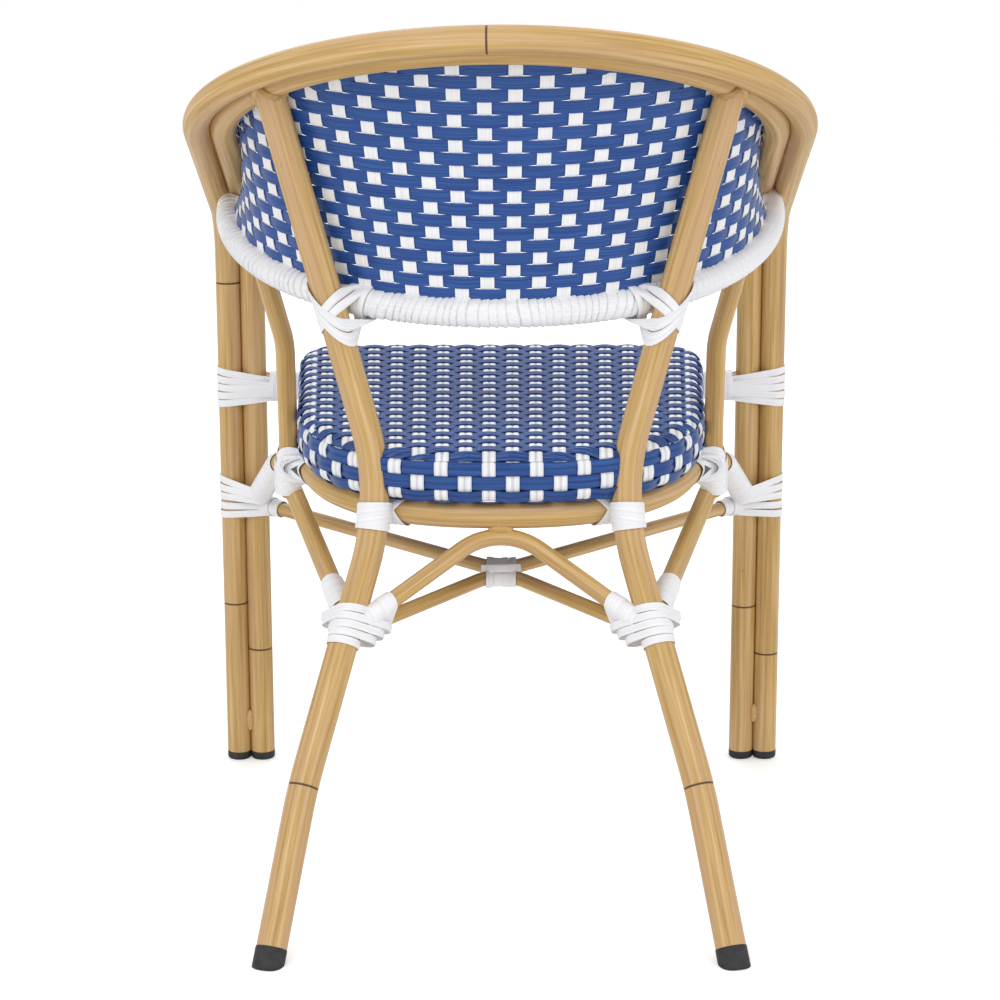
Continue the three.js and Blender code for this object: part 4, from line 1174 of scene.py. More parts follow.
@dataclass
class FootCaps:
    """Rubber cups under the six feet, with rounded rims."""

    rounding: float = 3 * MM
    lip: float = 0.5 * MM
    corner_steps: int = 5

    def build(self) -> None:
        """Two cups under each front leg and one under each rear leg, which is cut off flat at the floor."""
        for name, spread in (("outer", LOOP_HALF_WIDTH), ("inner", INNER_SPREAD)):
            cup = self.cup(vec(spread, 0, 0), UP, FRAME_TUBE, CAP_HEIGHT)
            pair("foot_cap_" + name, [cup], Look.RUBBER)
        axis = unit(LEG_KNEE - LEG_GROUND)
        height = CAP_HEIGHT + LEG_END_HEIGHT
        end = LEG_GROUND + axis * LEG_END_HEIGHT / axis[2]
        cup = self.cup(end - axis * (height + GAP), axis, LEG_TUBE, height)
        low = cup.points[..., 2] < 0
        slide = np.where(low, -cup.points[..., 2] / axis[2], 0)
        cup.points += slide[..., None] * axis
        pair("foot_cap_rear", [cup], Look.RUBBER)

    def cup(self, base: Array, axis: Array, diameter: float, height: float) -> Surface:
        """A profile of radius and height turned round an axis; its last ring closes round the tube.

        Args:
            base: the middle of its underside.
            axis: the direction of the tube.
            diameter: the tube's diameter.
            height: the cup's height.

        Returns:
            The cup.
        """
        radius = diameter / 2 + self.lip
        turn = np.linspace(0, PI / 2, self.corner_steps + 1)
        rise = self.rounding * (1 - np.cos(turn))
        out = radius - self.rounding * (1 - np.sin(turn))
        heights = np.concatenate([[0, 0], rise, [height - self.lip, height, height + self.lip]])
        rim = [radius, radius - self.lip / 2, radius - self.lip]
        radii = np.concatenate([[0.3 * radius, 0.7 * radius], out, rim])
        route = Route(base + np.linspace(0, 1, len(heights))[:, None] * axis)
        made = swept(route, round_section(1.0)[None] * radii[:, None, None])
        made.points += (heights - (made.points.mean(axis=1) - base) @ axis)[:, None, None] * axis
        return made


# Strips and straps


def strap_crease_shade(points: int, strands: int, stations: int) -> Array:
    """Where painted shade goes on a strap, for each station: 1 at the edges, between the strands and on the
    under side of its section, and 0 elsewhere.
    """
    s = np.linspace(0, strands, points)
    return np.tile(np.concatenate([np.abs(s - np.round(s)) < 0.01, np.ones(UNDER_POINTS)]), (stations, 1))


def strap_section(
    width: float, thickness: float, groove: float = 0.0, points: int = 7, strands: int = 2
) -> Array:
    """A strap's section (normal, binormal): crowned strands side by side, or one flat one where groove is 0.

    Half thickness over the width share s from -1 to 1 is sqrt(1 - k * h^2) for the strands, with k the
    groove and h = (n * s + n) mod 2 - 1 for n strands, and sqrt(1 - 0.92 * s^4) for a single flat one.

    Args:
        width: the strap's width.
        thickness: its greatest thickness.
        groove: how deep the strands' edges lie.
        points: the points of its upper side.
        strands: its strands.

    Returns:
        The section's points, the upper side first and then three of the under side.
    """
    s = np.linspace(-1, 1, points)
    if groove > 0:
        rise = np.sqrt(1 - groove * (np.mod(strands * (s + 1) + 1e-9, 2) - 1) ** 2)
    else:
        rise = np.sqrt(1 - 0.92 * s**4)
    upper = np.stack([rise * thickness / 2, s * width / 2], axis=-1)
    under = s[::-1][[0, points // 2, -1]]
    lower = np.stack([-thickness / 2 * np.array([0.5, 0.95, 0.5]), under * width / 2], axis=-1)
    return np.vstack([upper, lower])


Bar = tuple[Route, float]


@dataclass
class Band:
    """One closed turn of a flat strip drawn tight round one bar or more.

    A plane square to the axis at either edge of the strip cuts each bar in an ellipse. The edge runs
    round all the ellipses as a string would, and the strip is flat from edge to edge.

    Attributes:
        bars: the bars inside the turn, as (route, radius).
        middle: a point in the plane of the strip's middle line.
        axis: the direction square to that plane.
        lift: how far the strip stands off the bars, over other strips.
    """

    bars: Sequence[Bar]
    middle: Array
    axis: Array
    lift: float = 0.0
    width: float = 7.4 * MM
    thickness: float = 1.3 * MM
    steps: int = 48
    shade: float = 0.5

    def __post_init__(self) -> None:
        """Works out the directions across the axis, and outwards at each step's angle."""
        spare = REAR if abs(self.axis @ REAR) < 0.9 else OUTER
        self.across = unit(np.cross(self.axis, spare))
        self.side = np.cross(self.axis, self.across)
        self.angle = 2 * PI * np.arange(self.steps) / self.steps
        self.outward = np.cos(self.angle)[:, None] * self.across + np.sin(self.angle)[:, None] * self.side

    def surface(self) -> Surface:
        """The strip: middle + half the way from edge to edge * s + outward * (its section at s).

        Returns:
            The closed strip.
        """
        upper = self._edge(self.width / 2)
        lower = self._edge(-self.width / 2)
        section = strap_section(2.0, self.thickness)
        normals = unit(self.outward + np.roll(self.outward, -1, axis=0))
        middle = (upper + lower) / 2
        points = (
            middle[:, None]
            + (lower - upper)[:, None] / 2 * section[:, 1:]
            + normals[:, None] * (section[:, :1] + self.thickness / 2)
        )
        along = np.broadcast_to(Route(middle, closed=True).lengths[:, None, None], (*points.shape[:2], 1))
        place = np.broadcast_to(section * (1.0, self.width / 2), (*points.shape[:2], 2))
        return Surface(points, np.concatenate([place, along], axis=2), shade=self.shade, closed=True)

    def _edge(self, height: float) -> Array:
        """The line round the bars at a height along the axis.

        The support lines at the angles a and b = a + step, with reaches p and q, meet at
        x = (p * sin(b) - q * sin(a)) / sin(step), y = (q * cos(a) - p * cos(b)) / sin(step).

        Args:
            height: the edge's distance from the middle plane.

        Returns:
            The points of the edge.
        """
        one = np.max([self._reach(*bar, height) for bar in self.bars], axis=0) + self.lift
        following = np.roll(one, -1)
        step = self.angle[1]
        now, ahead = self.angle, self.angle + step
        x = (one * np.sin(ahead) - following * np.sin(now)) / math.sin(step)
        y = (following * np.cos(now) - one * np.cos(ahead)) / math.sin(step)
        return self.middle + height * self.axis + x[:, None] * self.across + y[:, None] * self.side

    def _reach(self, route: Route, radius: float, height: float) -> Array:
        """How far a bar reaches outwards: its centre plus half of the ellipse that the plane makes of it.

        Args:
            route: the bar's line.
            radius: its radius.
            height: the plane's distance from the middle one.

        Returns:
            The reach at each angle, or minus infinity where the bar misses the plane.
        """
        level = (route.points - self.middle) @ self.axis - height
        crossed = np.flatnonzero(level[:-1] * level[1:] <= 0)
        if not len(crossed):
            return np.full(len(self.outward), -math.inf)
        start, step = route.points[crossed], route.points[crossed + 1] - route.points[crossed]
        share = level[crossed] / (level[crossed] - level[crossed + 1])
        at = start + share[:, None] * step
        nearest = int(np.argmin(norm(at - self.middle, axis=1)))
        direction = unit(step[nearest])
        lean = abs(float(direction @ self.axis))
        sideways = direction - (direction @ self.axis) * self.axis
        towards = self.outward @ sideways / max(float(norm(sideways)), 1e-9)
        half = radius * np.sqrt((towards / lean) ** 2 + 1 - towards**2)
        return self.outward @ (at[nearest] - self.middle) + half


# Woven back


@dataclass(frozen=True)
class Weave:
    """A plain weave: how far its two sets of straps stand off the middle surface, and their sizes."""

    warp_width: float = 12.7 * MM
    weft_width: float = 11.9 * MM
    thickness: float = 1.3 * MM
    warp_relief: float = 0.45 * MM
    weft_relief: float = 1.35 * MM
    groove: float = 0.8
    steps: int = 8

    def sections(self) -> tuple[Array, Array]:
        """The sections of a blue strap and a white one."""
        widths = (self.weft_width, self.warp_width)
        return tuple(strap_section(width, self.thickness, self.groove) for width in widths)


@dataclass
class WovenBack:
    """The back: white straps from the lower rail to the rod, and blue rows parallel to the rail."""

    routes: FrameRoutes
    weave: Weave = Weave()
    columns: int = 34
    row_pitch: float = 12.25 * MM
    first_row: float = 30 * MM
    foot_height: float = 8 * MM
    rod_loop: float = 5.6 * MM
    edge_depth: float = 7.5 * MM
    edge_share: float = 0.004
    edge_relief: float = 0.6
    edge_shade: float = 0.2
    share_step: float = 0.002
    most_rows: int = 40

    def __post_init__(self) -> None:
        """Keeps the part of the rail that carries the weave, and the straps' sections."""
        rail = self.routes.rail.points
        self.low = Route(rail[rail[:, 1] >= BACK_FRONT_END])
        self.high = self.routes.rod
        self.blue, self.white = self.weave.sections()

    def spans(self, share: Array) -> tuple[Array, Array, Array]:
        """Foot points on the rail, directions up to the rod and distances to it, at shares of both lengths.

        Args:
            share: the shares.

        Returns:
            The three, one row for each share.
        """
        foot = self.low.at(share * self.low.lengths[-1])
        head = self.high.at(share * self.high.lengths[-1])
        length = norm(head - foot, axis=1)
        return foot, (head - foot) / length[:, None], length

    def place(self, share: Array, height: Array | float) -> tuple[Array, Array]:
        """Points of the middle surface and its outward normals: foot + height * up, and along x up.

        Args:
            share: the shares of the rail's length.
            height: distances up from the rail.

        Returns:
            The points and the normals.
        """
        height = np.broadcast_to(np.asarray(height, float), share.shape)[:, None]
        foot, up, _ = self.spans(share)
        ahead, up_ahead, _ = self.spans(np.clip(share + self.share_step, 0, 1))
        behind, up_behind, _ = self.spans(np.clip(share - self.share_step, 0, 1))
        along = (ahead + height * up_ahead) - (behind + height * up_behind)
        return foot + height * up, unit(np.cross(up, along))

    def row_strap(self, share: Array, height: Array | float, relief: float, shade: float) -> Surface:
        """A blue row: its distance from the surface is relief * cos(pi * row) * cos(pi * (column - 0.5)).

        Args:
            share: the shares of the rail's length.
            height: the row's height above the rail.
            relief: how far it stands off.
            shade: its random value.

        Returns:
            The row.
        """
        points, normals = self.place(share, height)
        row = (height - self.first_row) / self.row_pitch
        wave = np.cos(PI * row) * np.cos(PI * (share * self.columns - 0.5))
        points = points + (relief * wave)[:, None] * normals
        return swept(Route(points, normals), self.blue, shade=shade)

    def weft(self, row: int) -> Surface | None:
        """A row as far as there is room for it under the rod.

        Args:
            row: its number, up from the rail.

        Returns:
            The row, or None where there is hardly any room.
        """
        height = self.first_row + row * self.row_pitch
        share = np.linspace(0, 1, self.columns * self.weave.steps * 4 + 1)
        length = self.spans(share)[2]
        room = height + self.weave.weft_width / 2 <= length + self.rod_loop / 2
        if room.sum() < 2 * self.weave.steps:
            return None
        start, end = share[room][0], share[room][-1]
        count = max(8, round((end - start) * self.columns * self.weave.steps))
        share = np.linspace(start, end, count)
        return self.row_strap(share, height, self.weave.weft_relief, row * ROW_SHADE % 1)

    def edge_row(self) -> Surface:
        """The row right under the rod, over and under the white straps as the rows beside it are.

        Returns:
            The row.
        """
        share = np.linspace(self.edge_share, 1 - self.edge_share, self.columns * self.weave.steps)
        height = np.maximum(self.spans(share)[2] - self.edge_depth, self.edge_depth)
        return self.row_strap(share, height, self.edge_relief * self.weave.weft_relief, self.edge_shade)

    def warp(self, column: int) -> Surface:
        """A white strap: its distance from the surface is -relief * (-1)^column * cos(pi * row).

        Args:
            column: its number, from the left.

        Returns:
            The strap.
        """
        share = np.array([(column + 0.5) / self.columns])
        length = float(self.spans(share)[2][0])
        count = max(6, round((length - self.foot_height) / self.row_pitch * self.weave.steps))
        height = np.linspace(self.foot_height, length, count)
        foot, normal = self.place(np.repeat(share, count), height)
        row = (height - self.first_row) / self.row_pitch
        wave = -math.cos(PI * column) * np.cos(PI * row)
        points = foot + (self.weave.warp_relief * wave)[:, None] * normal
        return swept(Route(points, normal), self.white, shade=column * COLUMN_SHADE % 1)

    def rod_loops(self, column: int) -> Surface:
        """A white strap's turn all round the rod: rod + r * (sin(t) * up + cos(t) * normal).

        Args:
            column: its number, from the left.

        Returns:
            The turn.
        """
        share = np.array([(column + 0.5) / self.columns])
        foot, up, length = self.spans(share)
        _, normal = self.place(share, length)
        radius = (WEAVE_ROD + self.weave.thickness) / 2 + GAP
        turn = np.linspace(-0.5 * PI, 1.5 * PI, 25)
        centre = foot[0] + up[0] * length[0]
        points = centre + radius * (np.sin(turn)[:, None] * up[0] + np.cos(turn)[:, None] * normal[0])
        return swept(Route(points, unit(points - centre)), self.white)

    def build(self) -> None:
        """The blue rows, the white straps and the wound rod."""
        rows = [self.weft(row) for row in range(-1, self.most_rows)]
        blue = [row for row in rows if row is not None] + [self.edge_row()]
        piece("woven_back_rows", blue, Look.BLUE_WEAVE, "woven_back")
        white = [self.warp(column) for column in range(self.columns)]
        white += [self.rod_loops(column) for column in range(self.columns)]
        piece("woven_back_columns", white, Look.WHITE_WEAVE, "woven_back")
        rod = Tube(self.routes.rod, WEAVE_ROD, (), 0.1)
        piece("back_top_rod", [rod.surface()], Look.BLUE_WEAVE, "back_top_rod")


# Woven seat


@dataclass
class WovenSeat:
    """The seat: blue rows from side to side, white straps from front to back, and a band round the rim."""

    weave: Weave = Weave(weft_width=10.9 * MM, weft_relief=1.5 * MM, warp_relief=1.0 * MM)
    row_pitch: float = 11.6 * MM
    column_pitch_front: float = 24.4 * MM
    column_pitch_rear: float = 21.7 * MM
    top_reach: float = 15.5 * MM
    rim_rows: Sequence[float] = (22 * MM, 35.4 * MM, 48.8 * MM, 62.2 * MM)
    rim_width: float = 12.9 * MM
    last_column: float = 8.2
    rim_pitch: float = 22.6 * MM
    rim_start: float = 15.3 * MM
    under_reach: float = 14 * MM
    shade_fill_inset: float = 5 * MM
    shade_fill_depth: float = 3.2 * MM
    shade_fill_steps: int = 80
    fine_steps: int = 4000
    outline_steps: int = 1200
    edge_margin: float = 0.3 * MM
    row_bulk: float = 1.7
    row_strands: int = 3
    row_points: int = 13
    row_groove: float = 0.93
    row_columns: int = 19
    column_bulk: float = 1.4
    column_groove: float = 0.9
    rim_steps: int = 48
    rim_shade: float = 0.43
    # How dark the painted shade is in the grooves of the top's straps and of the rim's blue and white straps.
    top_crease: float = 0.85
    blue_crease: float = 0.5
    white_crease: float = 0.6

    def __post_init__(self) -> None:
        """Works out the outline with its outward normals and lengths."""
        angle = np.linspace(0, 2 * PI, self.fine_steps + 1)[:-1] - PI / 2
        rear = np.sin(angle) > 0
        halves = [oval_shares(angle, square) for square in (SEAT_REAR_SQUARENESS, SEAT_FRONT_SQUARENESS)]
        across, along = np.where(rear, *halves)
        half = SEAT_HALF_WIDTH + np.where(rear, 0, -along * SEAT_FRONT_FLARE)
        y = SEAT_MIDDLE + along * np.where(rear, SEAT_REAR_REACH, SEAT_FRONT_REACH)
        loop = np.stack([half * across, y], axis=-1)
        loop = np.vstack([loop, loop[:1]])
        lengths = np.concatenate([[0], np.cumsum(norm(np.diff(loop, axis=0), axis=1))])
        self.perimeter = float(lengths[-1])
        even = np.linspace(0, self.perimeter, self.outline_steps + 1)
        self.outline = np.stack([np.interp(even, lengths, loop[:, i]) for i in range(2)], axis=-1)
        step = np.roll(self.outline[:-1], -1, axis=0) - np.roll(self.outline[:-1], 1, axis=0)
        outward = unit(np.stack([step[:, 1], -step[:, 0]], axis=-1))
        self.outward = np.vstack([outward, outward[:1]])
        self.even = even

    def on_top(self, x: Array, y: Array) -> tuple[Array, Array]:
        """Points and normals of the rounded top.

        At a distance d inside the outline the surface has turned by asin((R - d) / R) from flat and lies
        R - sqrt(R^2 - (R - d)^2) below the top, with R the rounding.

        Args:
            x: places across.
            y: places from front to back.

        Returns:
            The points and the outward normals.
        """
        place = np.stack([x, y], axis=-1)
        away = norm(place[:, None] - self.outline[None], axis=2)
        nearest = away.argmin(axis=1)
        depth = np.clip(SEAT_ROUNDING - away.min(axis=1), 0, SEAT_ROUNDING * 0.999)
        turn = np.arcsin(depth / SEAT_ROUNDING)
        drop = SEAT_ROUNDING * (1 - np.cos(turn))
        out = np.concatenate([self.outward[nearest], np.zeros((len(x), 1))], axis=1)
        points = vec(x, y, seat_height(y, drop))
        return points, unit(np.cos(turn)[:, None] * UP + np.sin(turn)[:, None] * out)

    @staticmethod
    def limits(level: Array, other: Array) -> Pair:
        """The lowest and highest value of one coordinate where a closed line's level is zero.

        Args:
            level: the level at each of the line's stations.
            other: the other coordinate there.

        Returns:
            The lowest and the highest value, or zeros where the level has no zero.
        """
        crossed = np.flatnonzero(level[:-1] * level[1:] <= 0)
        if not len(crossed):
            return 0.0, 0.0
        share = level[crossed] / (level[crossed] - level[crossed + 1])
        found = other[crossed] + share * (other[crossed + 1] - other[crossed])
        return float(found.min()), float(found.max())

    def shrunk(self, inset: float) -> Array:
        """The outline moved inwards."""
        return self.outline - inset * self.outward

    def edge_inset(self) -> float:
        """How far inside the outline the top's straps end: R * (1 - sin(reach / R))."""
        return SEAT_ROUNDING * (1 - math.sin(self.top_reach / SEAT_ROUNDING))

    def plan(self, along: Array | float) -> Array | float:
        """The depth of a place on the middle line, at a distance along the surface from its middle.

        Args:
            along: the distance, negative towards the front.

        Returns:
            The depth.
        """
        low, high = self.limits(self.outline[:, 0], self.outline[:, 1])
        flat = (high - low) / 2 - SEAT_ROUNDING
        beyond = np.clip(np.abs(along) - flat, 0, SEAT_QUARTER)
        place = np.minimum(np.abs(along), flat) + SEAT_ROUNDING * np.sin(beyond / SEAT_ROUNDING)
        return (low + high) / 2 + np.sign(along) * place

    def row_lines(self) -> Array:
        """The rows' distances along the surface from the middle, from front to back.

        Returns:
            One distance for each row.
        """
        low, high = self.limits(self.outline[:, 0], self.outline[:, 1])
        total = high - low - 2 * SEAT_ROUNDING + 2 * self.top_reach - self.row_pitch
        return np.linspace(-total / 2, total / 2, round(total / self.row_pitch) + 1)

    def column_pitch(self, y: Array | float) -> Array | float:
        """The distance between columns, which fan out towards the front."""
        share = (y - SEAT_FRONT) / (SEAT_MIDDLE + SEAT_REAR_REACH - SEAT_FRONT)
        return self.column_pitch_front + share * (self.column_pitch_rear - self.column_pitch_front)

    def laid(
        self, x: Array, y: Array, rise: Array, along: Array, offsets: Array, strands: int, shade: float
    ) -> Surface:
        """A strap on the top: each point of its grid lies on the rounded top, moved out by its rise.

        Args:
            x: the grid's places across.
            y: its places from front to back.
            rise: how far each point stands off the top.
            along: each point's place along the strap.
            offsets: the section points' places across the strap.
            strands: the number of its strands.
            shade: its random value.

        Returns:
            The strap.
        """
        points, normals = self.on_top(x.ravel(), y.ravel())
        placed = points.reshape(*x.shape, 3) + rise[..., None] * normals.reshape(*x.shape, 3)
        grain = np.stack([rise, np.broadcast_to(offsets, x.shape), along], axis=-1)
        # Painted shade in the grooves between strands and at the strap's edges.
        ring = self.top_crease * strap_crease_shade(len(offsets) - UNDER_POINTS, strands, len(x))
        return Surface(placed, grain, ring, shade)

    def top_rows(self) -> list[Surface]:
        """Blue rows, off the surface by relief * (-1)^row * cos(pi * column), and cut along the rim.

        Returns:
            The rows from front to back.
        """
        made = []
        loop = self.shrunk(self.edge_inset())
        thickness = self.weave.thickness * self.row_bulk
        shape = (self.row_groove, self.row_points, self.row_strands)
        section = strap_section(self.weave.weft_width, thickness, *shape)
        ends = loop[:, 1].min() + self.edge_margin, loop[:, 1].max() - self.edge_margin
        for row, along in enumerate(self.row_lines()):
            lines = np.clip(self.plan(along - section[:, 1]), *ends)
            spans = np.array([self.limits(loop[:, 1] - line, loop[:, 0]) for line in lines])
            x = np.linspace(spans[:, 0], spans[:, 1], self.row_columns * self.weave.steps)
            y = np.broadcast_to(lines, x.shape)
            wave = math.cos(PI * row) * np.cos(PI * (x / self.column_pitch(y) - 0.5))
            rise = self.weave.weft_relief * wave + section[:, 0]
            made.append(self.laid(x, y, rise, x, section[:, 1], self.row_strands, row * ROW_SHADE % 1))
        return made

    def top_columns(self) -> list[Surface]:
        """White straps, off the surface by relief * (-1)^column * cos(pi * row), and cut along the rim.

        Returns:
            The straps from right to left, less those that the rim's curve leaves too short.
        """
        made = []
        loop = self.shrunk(self.edge_inset())
        lines = self.row_lines()
        rows = self.plan(lines)
        thickness = self.weave.thickness * self.column_bulk
        section = strap_section(self.weave.warp_width, thickness, self.column_groove)
        last = math.floor(self.last_column)
        for column in range(-last, last + 2):
            share = float(np.clip(column - 0.5, -self.last_column, self.last_column))
            level = loop[:, 0] - share * self.column_pitch(loop[:, 1])
            ends = np.array([self.limits(level - offset, loop[:, 1]) for offset in section[:, 1]])
            if (ends[:, 1] - ends[:, 0]).min() < 4 * self.column_pitch_front:
                continue
            y = np.linspace(ends[:, 0], ends[:, 1], len(lines) * self.weave.steps)
            x = share * self.column_pitch(y) + section[:, 1]
            row = np.interp(y, rows, np.arange(len(rows)))
            wave = math.cos(PI * column) * np.cos(PI * row)
            rise = self.weave.warp_relief * wave + section[:, 0]
            made.append(self.laid(x, y, rise, y, section[:, 1], 2, column * COLUMN_SHADE % 1))
        return made

    def shade_fill(self) -> Surface:
        """A dark navy pillow a little smaller than the weave, from side to side: painted shade for the shadow
        inside the seat.

        Returns:
            The pillow.
        """
        loop = self.shrunk(self.shade_fill_inset)
        ends = loop[:, 0].min() + self.edge_margin, loop[:, 0].max() - self.edge_margin
        x = np.linspace(*ends, self.shade_fill_steps)
        spans = np.array([self.limits(loop[:, 0] - value, loop[:, 1]) for value in x])
        y = np.linspace(spans[:, 0], spans[:, 1], self.shade_fill_steps, axis=1)
        wide = np.broadcast_to(x[:, None], y.shape)
        points, _ = self.on_top(wide.ravel(), y.ravel())
        top = points.reshape(*y.shape, 3)
        drop = seat_height(y) - top[..., 2] + self.shade_fill_depth
        upper = vec(wide, y, seat_height(y, drop))
        lower = vec(wide, y, seat_height(y, SEAT_THICKNESS - drop))
        points = np.concatenate([upper, lower[:, ::-1]], axis=1)
        return Surface(points, points)

    def on_rim(self, along: Array, down: Array) -> tuple[Array, Array]:
        """Points and normals of the rim.

        The profile runs from where the top starts to round: a quarter circle, the upright side, another
        quarter circle and a flat stretch under the edge.

        Args:
            along: distances round the outline.
            down: distances along the profile.

        Returns:
            Points and outward normals.
        """
        side = SEAT_THICKNESS - 2 * SEAT_ROUNDING
        upper = np.clip(down, 0, SEAT_QUARTER) / SEAT_ROUNDING
        upright = np.clip(down - SEAT_QUARTER, 0, side)
        lower = np.clip(down - SEAT_QUARTER - side, 0, SEAT_QUARTER) / SEAT_ROUNDING
        under = np.clip(down - 2 * SEAT_QUARTER - side, 0, None)
        inset = SEAT_ROUNDING * (1 - np.sin(upper)) + SEAT_ROUNDING * (1 - np.cos(lower)) + under
        drop = SEAT_ROUNDING * (1 - np.cos(upper)) + upright + SEAT_ROUNDING * np.sin(lower)
        turn = upper + lower
        along = np.mod(along, self.perimeter)
        place = np.stack([np.interp(along, self.even, self.outline[:, i]) for i in range(2)], axis=-1)
        out = unit(np.stack([np.interp(along, self.even, self.outward[:, i]) for i in range(2)], axis=-1))
        flat = place - inset[:, None] * out
        points = np.stack([flat[:, 0], flat[:, 1], seat_height(flat[:, 1], drop)], axis=-1)
        outward = np.concatenate([out, np.zeros((len(out), 1))], axis=1)
        return points, unit(np.cos(turn)[:, None] * UP + np.sin(turn)[:, None] * outward)

    def rim_count(self) -> int:
        """The even number of columns round the rim."""
        return 2 * round(self.perimeter / (2 * self.rim_pitch))

    def rim(self) -> tuple[list[Surface], list[Surface]]:
        """Straps round the rim and down it, in a plain weave.

        Returns:
            The blue straps round it and the white ones down it.
        """
        count = self.rim_count()
        pitch = self.perimeter / count
        start = self.perimeter / 2
        blue, white = [], []
        blue_section, white_section = replace(self.weave, weft_width=self.rim_width).sections()
        stations = np.arange(count * self.weave.steps) / self.weave.steps
        # Painted shade in the grooves of the blue rim straps.
        crease_shades = self.blue_crease * strap_crease_shade(7, 2, len(stations))
        for row, down in enumerate(self.rim_rows):
            along = start + (stations + 0.5) * pitch
            points, normals = self.on_rim(along, np.full(len(along), down))
            wave = math.cos(PI * row) * np.cos(PI * stations)
            route = Route(points + (self.weave.weft_relief * wave)[:, None] * normals, normals, closed=True)
            blue.append(swept(route, blue_section, ring=crease_shades, shade=row * self.rim_shade % 1))
        end = 2 * SEAT_QUARTER + SEAT_THICKNESS - 2 * SEAT_ROUNDING + self.under_reach
        down = np.linspace(self.rim_start, end, self.rim_steps)
        row = np.interp(down, self.rim_rows, np.arange(len(self.rim_rows)))
        row = np.where(down < self.rim_rows[0], (down - self.rim_rows[0]) / self.row_pitch, row)
        # Painted shade in the grooves of the white rim straps.
        crease_shades = self.white_crease * strap_crease_shade(7, 2, self.rim_steps)
        for column in range(count):
            along = np.full(self.rim_steps, start + (column + 0.5) * pitch)
            points, normals = self.on_rim(along, down)
            wave = -math.cos(PI * column) * np.cos(PI * row)
            route = Route(points + (self.weave.warp_relief * wave)[:, None] * normals, normals)
            white.append(swept(route, white_section, ring=crease_shades, shade=column * COLUMN_SHADE % 1))
        return blue, white

    def build(self) -> None:
        """Top and rim, blue and white."""
        rim_blue, rim_white = self.rim()
        piece("woven_seat_rows", self.top_rows(), Look.BLUE_WEAVE, "woven_seat")
        piece("woven_seat_columns", self.top_columns(), Look.WHITE_WEAVE, "woven_seat")
        piece("woven_seat_rim_rows", rim_blue, Look.BLUE_WEAVE, "woven_seat")
        piece("woven_seat_rim_columns", rim_white, Look.WHITE_WEAVE, "woven_seat")
        # The dark fill inside the seat is painted shade.
        piece("woven_seat_core", [self.shade_fill()], Look.DARK_WEAVE, "woven_seat")


# Wrapping of the back rail


@dataclass
class RailWrapping:
    """White strip wound closely round the lower back rail."""

    routes: FrameRoutes
    pitch: float = 7.6 * MM
    low_radius: float = 12.6 * MM
    rise: float = 2.2 * MM
    sides: int = 32
    steps: int = 12
    crease_share: float = 0.16

    def build(self) -> None:
        """One skin whose radius is low + rise * (0.35 + 0.65 * t - 0.35 * |2t - 1|^6) at a turn's share t.

        Each turn so climbs on the one before it. The turns are uneven: their number runs on by two slow
        sines along the rail, and they lean by a sine round it. The darker low part of each turn is painted
        shade.
        """
        rail = self.routes.rail
        inner = Tube(self.routes.inner, FRAME_TUBE)
        count = int(rail.lengths[-1] / self.pitch * self.steps)
        route = Route(rail.at(np.linspace(0, rail.lengths[-1], count)))
        angle = np.arange(self.sides) / self.sides
        passed = route.lengths[:, None] / self.pitch
        drift = 0.42 * np.sin(passed * 0.37) + 0.2 * np.sin(passed * 1.13 + 2.0)
        lean = 0.36 * np.sin(2 * PI * angle[None] + passed * 0.23)
        share = np.mod(passed + angle[None] + drift + lean, 1.0)
        radius = self.low_radius + self.rise * (0.35 + 0.65 * share - 0.35 * np.abs(2 * share - 1) ** 6)
        section = round_section(1.0, self.sides)[None] * radius[..., None]
        # Painted shade: a darker colour low in each turn, where it lies under the step of the turn beside it.
        painted_crease_shade = np.clip(1 - share / self.crease_share, 0, 1) * (0.32 + 0.28 * np.sin(passed * 0.83))
        made = swept(route, section, ring=painted_crease_shade)
        made = coped(coped(made, inner, 0), inner, -1)
        piece("back_rail_wrapping", [made], Look.WHITE_STRIP, "back_rail_wrapping")


# Lashings


